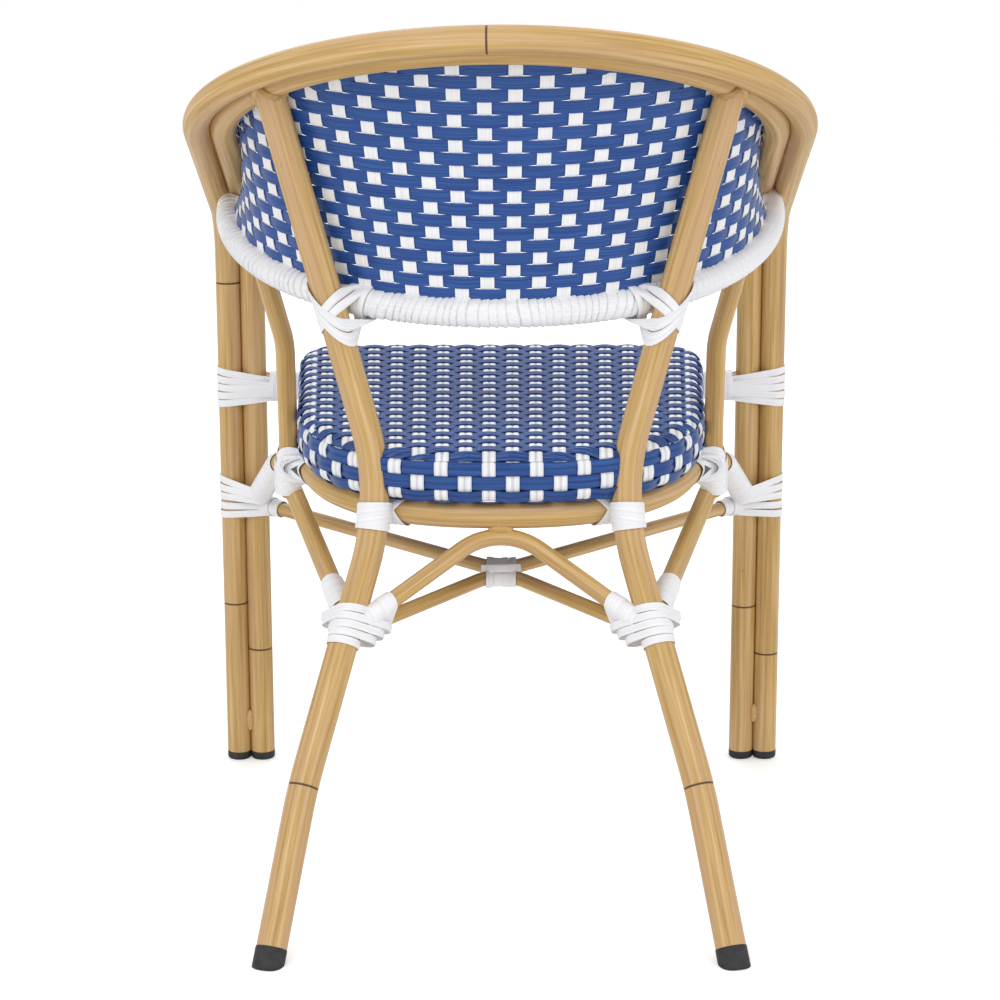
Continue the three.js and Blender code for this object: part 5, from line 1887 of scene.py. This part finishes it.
@dataclass
class Lashings:
    """Every strip lashing of the frame, as closed turns that lie over and beside each other.

    Every other turn stands off its neighbours by a layer. Skins are how far turns stand off the bars in
    the first and the second layer, and a fold or a lap is how far other strips thicken a bar. A table of
    turns gives each one's height or distance in millimetres, and then its lean or its drop, and one of
    bindings the start in millimetres, the number of turns and the lift in millimetres.
    """

    routes: FrameRoutes
    width: float = 7.4 * MM
    pitch: float = 7.2 * MM
    overlap: float = 0.8 * MM
    layer: float = 0.45 * MM
    skew: float = 0.035
    taper: float = 0.85
    skins: Pair = (0.3 * MM, 1.2 * MM)
    bindings: Sequence[tuple[float, int, float]] = ((17, 6, 2.4), (15, 4, 2.6), (18, 20, 1.4), (24, 7, 0.9))
    stub_fold: float = 1 * MM
    rear_lift: float = 0.4 * MM
    bound_lift: float = 0.6 * MM
    ring_lift: float = 0.9 * MM
    crest_lift: float = 0.8 * MM
    cross_lift: float = 0.4 * MM
    centre_lift: float = 0.9 * MM
    fold: float = 1.5 * MM
    lap: float = 3 * MM
    stub_depth: float = 243 * MM
    stub_turns: tuple[float, float, float] = (413 * MM, 7.9 * MM, 4.6 * MM)
    arch_reach: float = 24 * MM
    arch_turns: Sequence[Pair] = ((311, 2.5), (303.2, -1.5), (295.4, -5.5))
    brace_reach: float = 16 * MM
    brace_turns: Sequence[Pair] = ((285.5, 2.0), (276.5, -5.5))
    rear_height: float = 299 * MM
    rear_turns: Sequence[tuple[float, float, float, float]] = (
        (-22, 0.16, 50, 0),
        (-30, 0.12, 40, 42),
        (-37.7, 0.12, 20, 34),
        (-45.6, 0.10, 0, 24),
        (-53.5, 0.08, 0, 0),
    )
    rear_bound: Sequence[float] = (24, 30, 36, 42.5, 49)
    ring_turns: Sequence[Pair] = ((1, 0.06), (-5, 0.16), (-9, -0.04), (-13, 0.2), (-17, -0.06))
    rail_turns: Sequence[Pair] = ((17, 0.15), (23, -0.15))
    rail_slant: float = 1.0
    rail_steps: Sequence[float] = (-4 * MM, 4 * MM)
    side_slant: float = 0.8
    side_steps: Sequence[float] = (-9 * MM, -2 * MM, 5 * MM)
    beside: Sequence[float] = (6 * MM, 11 * MM, 16 * MM)
    crest_depth: float = 155 * MM
    crest_turns: Sequence[float] = (27, 20, 13, 6, -1)
    crest_lean: float = 0.1
    leg_crosses: tuple[float, int] = (3 * MM, 4)
    side_crosses: tuple[float, int] = (5 * MM, 8)
    cross_step: float = 6 * MM
    cross_offset: float = 2 * MM
    cross_slant: float = 0.7
    waist_rise: float = 4 * MM
    waist_reach: float = 13 * MM
    waist_fold: float = 2.4 * MM
    waist_lean: Pair = (-0.25, 0.05)
    centre_steps: Sequence[float] = (-1.5, -0.5, 0.5, 1.5)
    post_reach: float = 60 * MM

    def __post_init__(self) -> None:
        """The bars that the strips go round."""
        r = self.routes
        self.legs = [(r.outer, FRAME_TUBE / 2), (r.inner, FRAME_TUBE / 2)]
        self.leg = (r.leg, LEG_TUBE / 2)
        whole = np.vstack([r.ring_half.points, r.ring_half.points[-2::-1] * MIRROR])
        self.hoop = (Route(whole), RING_TUBE / 2)
        self.rail = (r.rail, RAIL_WRAPPED / 2)
        self.support = (r.support, SUPPORT_TUBE / 2)
        self.arch = (r.side_arch, SIDE_ARCH_TUBE / 2)
        self.rear_arch = (r.rear_arch, REAR_ARCH_TUBE / 2)
        self.front_brace, self.rear_brace = (r.front_brace, BRACE_TUBE / 2), (r.rear_brace, BRACE_TUBE / 2)
        self.stub = (r.stub, STUB_TUBE / 2)

    def build(self) -> None:
        """Makes the lashings on both sides and the one in the middle."""
        stub, brace, front_arch, rear_arch = self.bindings
        pairs = {
            "lash_upper": self.upper_front(),
            "lash_lower": self.lower_front(),
            "lash_rear_leg": self.rear_leg(),
            "lash_ring": self.ring_and_leg(),
            "lash_side": self.ring_and_support(),
            "lash_back": self.rail_and_leg(),
            "wrap_stub": self.binding(self.stub, 0, *stub),
            "wrap_brace_front": self.binding(self.front_brace, 0, *brace),
            "wrap_arch_front": self.binding(self.arch, -1, *front_arch),
            "wrap_arch_rear": self.binding(self.arch, 0, *rear_arch),
            "wrap_brace_rear": self.rear_binding(),
            "wrap_ring_rear": self.ring_crosses(self.leg, *self.leg_crosses),
            "wrap_ring_side": self.ring_crosses(self.support, *self.side_crosses),
        }
        for name, surfaces in pairs.items():
            pair(name, surfaces, Look.WHITE_STRIP)
        piece("lash_centre", self.centre(), Look.WHITE_STRIP, "lash_centre")

    def turns(
        self, bars: Sequence[Bar], middle: Array, axis: Array, heights: Sequence[float], lift: float = 0.0
    ) -> list[Surface]:
        """Closed turns at heights along an axis, each a little askew and every other one a layer up.

        Args:
            bars: the bars inside the turns.
            middle: a point between the bars.
            axis: the direction square to the turns.
            heights: the turns' distances from the point, along the axis.
            lift: how far they stand off the bars.

        Returns:
            The turns.
        """
        made = []
        lean = unit(np.cross(axis, REAR))
        for i, height in enumerate(heights):
            askew = unit(axis + self.skew * math.sin(2.4 * i + 1) * lean)
            raised = lift + self.layer * (i % 2)
            shade = (i * ROW_SHADE + lift * 311) % 1
            place = middle + height * axis
            made.append(Band(bars, place, askew, raised, self.width, shade=shade).surface())
        return made

    def post(self, place: Array, axis: Array, radius: float) -> Bar:
        """A short stand-in for a bar that crosses a turn too flatly: a straight one along the axis."""
        return Route(np.array([place - self.post_reach * axis, place + self.post_reach * axis])), radius

    @staticmethod
    def from_end(route: Route, end: int, distance: float) -> tuple[Array, Array]:
        """The point and the inward direction at a distance from a route's first or last end."""
        line = route if end == 0 else route.reversed()
        return line.at(distance), unit(line.at(distance + 2 * FINE_STEP) - line.at(distance))

    @staticmethod
    def meeting(one: Route, other: Route) -> tuple[Array, Array, Array]:
        """The middle of the place where two bars pass, the first one's way up and the other's way back.

        Args:
            one: the first bar's line.
            other: the other bar's line.

        Returns:
            The point and the two directions.
        """
        dense, beside = one.dense(FINE_STEP), other.dense(FINE_STEP)
        away = norm(dense.points[:, None] - beside.points[None], axis=2)
        i, k = np.unravel_index(away.argmin(), away.shape)
        along, across = dense.tangents[i], beside.tangents[k]
        middle = (dense.points[i] + beside.points[k]) / 2
        return middle, along * np.sign(along @ UP), across * np.sign(across[1])

    def binding(self, bar: Bar, end: int, start: float, count: int, lift: float) -> list[Surface]:
        """Close turns round the end of a bar, thickest at the start.

        Args:
            bar: the bar.
            end: 0 for its first end and -1 for its last.
            start: the distance from the end at which the turns start, in millimetres.
            count: the number of turns.
            lift: how far the first turn stands off, in millimetres.

        Returns:
            The turns.
        """
        made = []
        for i in range(count):
            place, axis = self.from_end(bar[0], end, start * MM + (i + 0.5) * (self.width - self.overlap))
            raised = lift * MM * (1 - self.taper * i / (count - 1)) + self.layer * (i % 2)
            made += self.turns([bar], place, axis, [0.0], raised)
        return made

    def fan(self, spreads: Sequence[Pair], end: Array, radius: float) -> list[Surface]:
        """Turns round both front legs that draw together at the end of a bar.

        Args:
            spreads: each turn's heights at the outer leg and at the end.
            end: the middle of the bar at the place where they are tucked under its binding.
            radius: the bar's radius there.

        Returns:
            The turns.
        """
        made = []
        run = LOOP_HALF_WIDTH - end[0]
        for i, (high, low) in enumerate(spreads):
            axis = unit(vec(-(high - low) / run, 0, 1))
            level = min(abs(low - end[2]), radius * 0.95)
            post = self.post(vec(end[0], end[1], low), axis, math.sqrt(radius**2 - level**2))
            place = vec(LOOP_HALF_WIDTH, 0, high)
            made += self.turns([*self.legs, post], place, axis, [0.0], self.skins[0] + self.layer * (i % 2))
        return made

    def upper_front(self) -> list[Surface]:
        """Five strips round both legs, drawn together on the seat stub.

        Returns:
            The turns.
        """
        middle, wide, narrow = self.stub_turns
        spreads = [(middle + i * wide, middle + i * narrow) for i in range(-2, 3)]
        return self.fan(spreads, vec(self.stub_depth, 0, STUB_HEIGHT), STUB_TUBE / 2 + self.stub_fold)

    def lower_front(self) -> list[Surface]:
        """Three strips drawn together on the side arch, and two looser ones on the brace.

        Returns:
            The turns.
        """
        arch, _ = self.from_end(self.routes.side_arch, -1, self.arch_reach)
        brace, _ = self.from_end(self.routes.front_brace, 0, self.brace_reach)
        upper = [(z * MM, arch[2] + d * MM) for z, d in self.arch_turns]
        lower = [(z * MM, brace[2] + d * MM) for z, d in self.brace_turns]
        return self.fan(upper, arch, SIDE_ARCH_TUBE / 2) + self.fan(lower, brace, BRACE_TUBE / 2)

    def rear_leg(self) -> list[Surface]:
        """Five strips down the rear leg, of which the upper ones also span the arches and the brace.

        Each has a height and a lean, and reaches out along the side arch and the rear bars.

        Returns:
            The turns.
        """
        r = self.routes
        origin = r.leg.where(2, self.rear_height)
        up = -r.leg.tangents[int(np.argmin(norm(r.leg.points - origin, axis=1)))]
        made = []
        for i, (height, lean, side, rear) in enumerate(self.rear_turns):
            axis = unit(up + lean * OUTER)
            bars = [self.leg]
            if side:
                place, _ = self.from_end(r.side_arch, 0, side * MM)
                bars.append(self.post(place, axis, SIDE_ARCH_TUBE / 2 + self.fold))
            if rear:
                arch, _ = self.from_end(r.rear_arch, 0, rear * MM)
                brace, _ = self.from_end(r.rear_brace, 0, rear * MM)
                bars.append(self.post((arch + brace) / 2, axis, REAR_ARCH_TUBE / 2 + self.lap))
            place = origin + height * MM * up
            made += self.turns(bars, place, axis, [0.0], self.rear_lift + self.layer * (i % 2))
        return made

    def rear_binding(self) -> list[Surface]:
        """Close turns round the rear arch and the rear brace together, near the leg.

        Returns:
            The turns.
        """
        made = []
        bars = [self.rear_arch, self.rear_brace]
        for i, distance in enumerate(self.rear_bound):
            arch, along = self.from_end(self.routes.rear_arch, 0, distance * MM)
            brace, beside = self.from_end(self.routes.rear_brace, 0, distance * MM)
            raised = self.bound_lift + self.layer * (i % 2)
            made += self.turns(bars, (arch + brace) / 2, unit(along + beside), [0.0], raised)
        return made

    def crossed(
        self, one: Bar, other: Bar, slant: float, heights: Sequence[float], drop: float
    ) -> list[Surface]:
        """Turns on both diagonals where two bars cross, one set over the other.

        Args:
            one: the upright bar.
            other: the bar across.
            slant: how steeply the turns run from one bar to the other.
            heights: the turns' distances from the middle.
            drop: how far below the crossing their middle lies.

        Returns:
            The turns.
        """
        middle, along, across = self.meeting(one[0], other[0])
        made = []
        for side, lift in zip((-1, 1), self.skins):
            axis = unit(along + side * slant * across)
            made += self.turns([one, other], middle - drop * along, axis, heights, lift)
        return made

    def rail_and_leg(self) -> list[Surface]:
        """Crossed strips on the rear leg and the wrapped rail, and two round the rail beside them.

        Returns:
            The turns.
        """
        made = self.crossed(self.leg, self.rail, self.rail_slant, self.rail_steps, self.rail_steps[-1])
        middle, up, across = self.meeting(self.leg[0], self.rail[0])
        for distance, lean in self.rail_turns:
            place = self.routes.rail.at(self.routes.rail.length_at(middle) + distance * MM)
            made += self.turns([self.rail], place, unit(across + lean * up), [0.0], self.skins[1])
        return made

    def ring_and_leg(self) -> list[Surface]:
        """Layered strips round the rear leg where the hoop passes it, some rising and some falling.

        Returns:
            The turns.
        """
        middle, up, _ = self.meeting(self.leg[0], self.hoop[0])
        made = []
        leg = self.routes.leg
        for i, (height, lean) in enumerate(self.ring_turns):
            place = leg.at(leg.length_at(middle) - height * MM)
            raised = self.ring_lift + self.layer * (i % 2)
            made += self.turns([self.leg], place, unit(up + lean * OUTER), [0.0], raised)
        return made

    def ring_and_support(self) -> list[Surface]:
        """Crossed strips on an arm support and the hoop, that also take in the top of the side arch.

        Returns:
            The turns.
        """
        made = self.crossed(self.support, self.hoop, self.side_slant, self.side_steps, 0.0)
        middle, _, across = self.meeting(self.support[0], self.routes.ring_half)
        support = self.routes.support.dense(FINE_STEP)
        beside = support.at(support.length_at(middle))
        for step in self.beside:
            stand_in = self.post(beside + step * across, across, SUPPORT_TUBE / 2 - step / 4)
            made += self.turns([self.hoop, stand_in], middle + step * across, across, [0.0], self.skins[0])
        arch = self.routes.side_arch
        bars = [self.support, self.post(arch.where(1, self.crest_depth), UP, SIDE_ARCH_TUBE / 2)]
        foot = arch.where(1, SUPPORT_DEPTH)
        axis = unit(UP + self.crest_lean * OUTER)
        for i, height in enumerate(self.crest_turns):
            raised = self.crest_lift + self.layer * (i % 2)
            made += self.turns(bars, foot + height * MM * UP, axis, [0.0], raised)
        return made

    def ring_crosses(self, other: Bar, distance: float, count: int) -> list[Surface]:
        """Slanted turns round the hoop beside another bar, crossing each other in pairs.

        Args:
            other: the bar.
            distance: the length along the hoop from the bar to the first pair.
            count: the number of slanted turns.

        Returns:
            The turns, and three straight ones under them.
        """
        middle, up, across = self.meeting(other[0], self.routes.ring_half)
        ring = self.routes.ring_half
        start = ring.length_at(middle) + distance
        made = []
        for step in (-self.cross_step, 0.0, self.cross_step):
            made += self.turns([self.hoop], ring.at(start + step), across, [0.0], self.skins[1])
        for i in range(count):
            slant = self.cross_slant if i % 2 == 0 else -self.cross_slant
            step = self.cross_step * (i // 2) + self.cross_offset * (i % 2)
            raised = self.cross_lift + self.layer * (i % 4)
            made += self.turns([self.hoop], ring.at(start + step), unit(across + slant * up), [0.0], raised)
        return made

    def centre(self) -> list[Surface]:
        """Four upright turns round both braces where they meet, and one that lies round them and the bars.

        Returns:
            The turns.
        """
        bars = [self.front_brace, self.rear_brace]
        middle = self.meeting(*[bar[0] for bar in bars])[0] * (REAR + UP)
        places = [i * self.pitch for i in self.centre_steps]
        made = self.turns(bars, middle, OUTER, places, self.centre_lift)
        waist = middle + self.waist_rise * UP
        back, out = self.waist_lean
        axis = unit(UP + back * REAR + out * OUTER)
        posts = [self.post(waist, axis, BRACE_TUBE + self.waist_fold)]
        for side in (-1, 1):
            posts.append(self.post(waist + side * self.waist_reach * OUTER, axis, BRACE_TUBE / 3))
        for lift in (0.0, self.layer):
            made += self.turns(posts, waist, axis, [0.0], lift)
        return made


# Studio


@dataclass
class Studio:
    """The camera at the photograph's place, soft lamps, and a plain floor and world."""

    camera_place: tuple[float, float, float] = (-4.4 * MM, 2904 * MM, 1002 * MM)
    focal_pixels: float = 2800
    sensor: float = 36
    pitch: float = 0.241
    yaw: float = 0.002
    roll: float = 0.002
    floor_size: float = 12
    floor_grey: float = 0.9
    floor_glow: float = 0.35
    world_light: float = 0.8
    floor_roughness: float = 0.9
    aim_height: float = 450 * MM
    lamps: Sequence[tuple[str, tuple[float, float, float], float, float]] = (
        ("key", (1.6, 2.6, 2.9), 2.2, 30),
        ("fill", (-2.4, 2.2, 2.0), 2.4, 18),
        ("front", (0.3, -2.6, 2.4), 2.4, 20),
    )

    def build(self) -> None:
        """Camera, lamps, world and floor."""
        self._camera()
        self._world()
        self._floor()
        for lamp in self.lamps:
            self._lamp(*lamp)
        bpy.context.scene.view_settings.view_transform = "Standard"

    @staticmethod
    def _pose(*columns: Array) -> Matrix:
        """A place's matrix from its right, up and back directions and its point."""
        rows = np.column_stack(columns)
        return Matrix([*rows.tolist(), (0, 0, 0, 1)])

    def _camera(self) -> None:
        """A camera that looks along -Y, then turned by its yaw, pitch and roll."""

        def turned(vector: Array, axis: Array, angle: float) -> Array:
            """A vector turned round an axis: v * cos + (a x v) * sin + a * (a . v) * (1 - cos)."""
            return (
                vector * math.cos(angle)
                + np.cross(axis, vector) * math.sin(angle)
                + axis * (axis @ vector) * (1 - math.cos(angle))
            )

        ahead = turned(-REAR, UP, self.yaw)
        right = np.cross(ahead, UP)
        up = turned(UP, right, -self.pitch)
        ahead = turned(ahead, right, -self.pitch)
        up, right = turned(up, ahead, self.roll), turned(right, ahead, self.roll)
        place = np.array(self.camera_place) + FRONT_LINE
        data = bpy.data.cameras.new("camera")
        data.sensor_width = self.sensor
        data.lens = self.focal_pixels * self.sensor / PHOTO_WIDTH
        camera = linked("camera", data)
        camera.matrix_world = self._pose(right, up, -ahead, place)
        bpy.context.scene.camera = camera

    def _world(self) -> None:
        """Even light from all round, and pure white where the camera sees past the floor."""
        world = bpy.data.worlds.new("studio")
        world.use_nodes = True
        tree = world.node_tree
        back = tree.nodes["Background"]
        back.inputs["Color"].default_value = (1, 1, 1, 1)
        path = add_node(tree, "LightPath")
        seen = {0: path.outputs["Is Camera Ray"]}
        strength = add_node(tree, "MapRange", seen, To_Min=self.world_light, To_Max=1.0)
        tree.links.new(strength.outputs[0], back.inputs["Strength"])
        bpy.context.scene.world = world

    def _floor(self) -> None:
        """A large pale floor that takes the chair's shadow."""
        half = self.floor_size / 2
        mesh = bpy.data.meshes.new("floor")
        corners = [(-half, -half, 0), (half, -half, 0), (half, half, 0), (-half, half, 0)]
        mesh.from_pydata(corners, [], [(0, 1, 2, 3)])
        floor = linked("floor", mesh)
        made = bpy.data.materials.new("pale_floor")
        made.use_nodes = True
        tree = made.node_tree
        shader = tree.nodes["Principled BSDF"]
        shader.inputs["Base Color"].default_value = (*[self.floor_grey] * 3, 1)
        shader.inputs["Roughness"].default_value = self.floor_roughness
        shader.inputs["Emission Color"].default_value = (1, 1, 1, 1)
        seen = {0: add_node(tree, "LightPath").outputs["Is Camera Ray"]}
        glow = add_node(tree, "MapRange", seen, To_Max=self.floor_glow)
        tree.links.new(glow.outputs[0], shader.inputs["Emission Strength"])
        mesh.materials.append(made)

    def _lamp(self, name: str, place: tuple[float, float, float], size: float, power: float) -> None:
        """A large square lamp that faces the chair's middle.

        Args:
            name: its name.
            place: where it hangs.
            size: its width in metres.
            power: its power in watts.
        """
        data = bpy.data.lights.new(name, "AREA")
        data.shape = "SQUARE"
        data.size = size
        data.energy = power
        away = unit(np.array(place) - self.aim_height * UP)
        side = unit(np.cross(UP, away))
        linked(name, data).matrix_world = self._pose(side, np.cross(away, side), away, place)


def main() -> None:
    """Builds the chair and the studio."""
    logging.basicConfig(level=logging.INFO, format="%(message)s")
    build_finishes()
    routes = FrameRoutes()
    Studio().build()
    TubeFrame(routes).build()
    FootCaps().build()
    WovenBack(routes).build()
    WovenSeat().build()
    RailWrapping(routes).build()
    Lashings(routes).build()


if __name__ == "__main__":
    main()
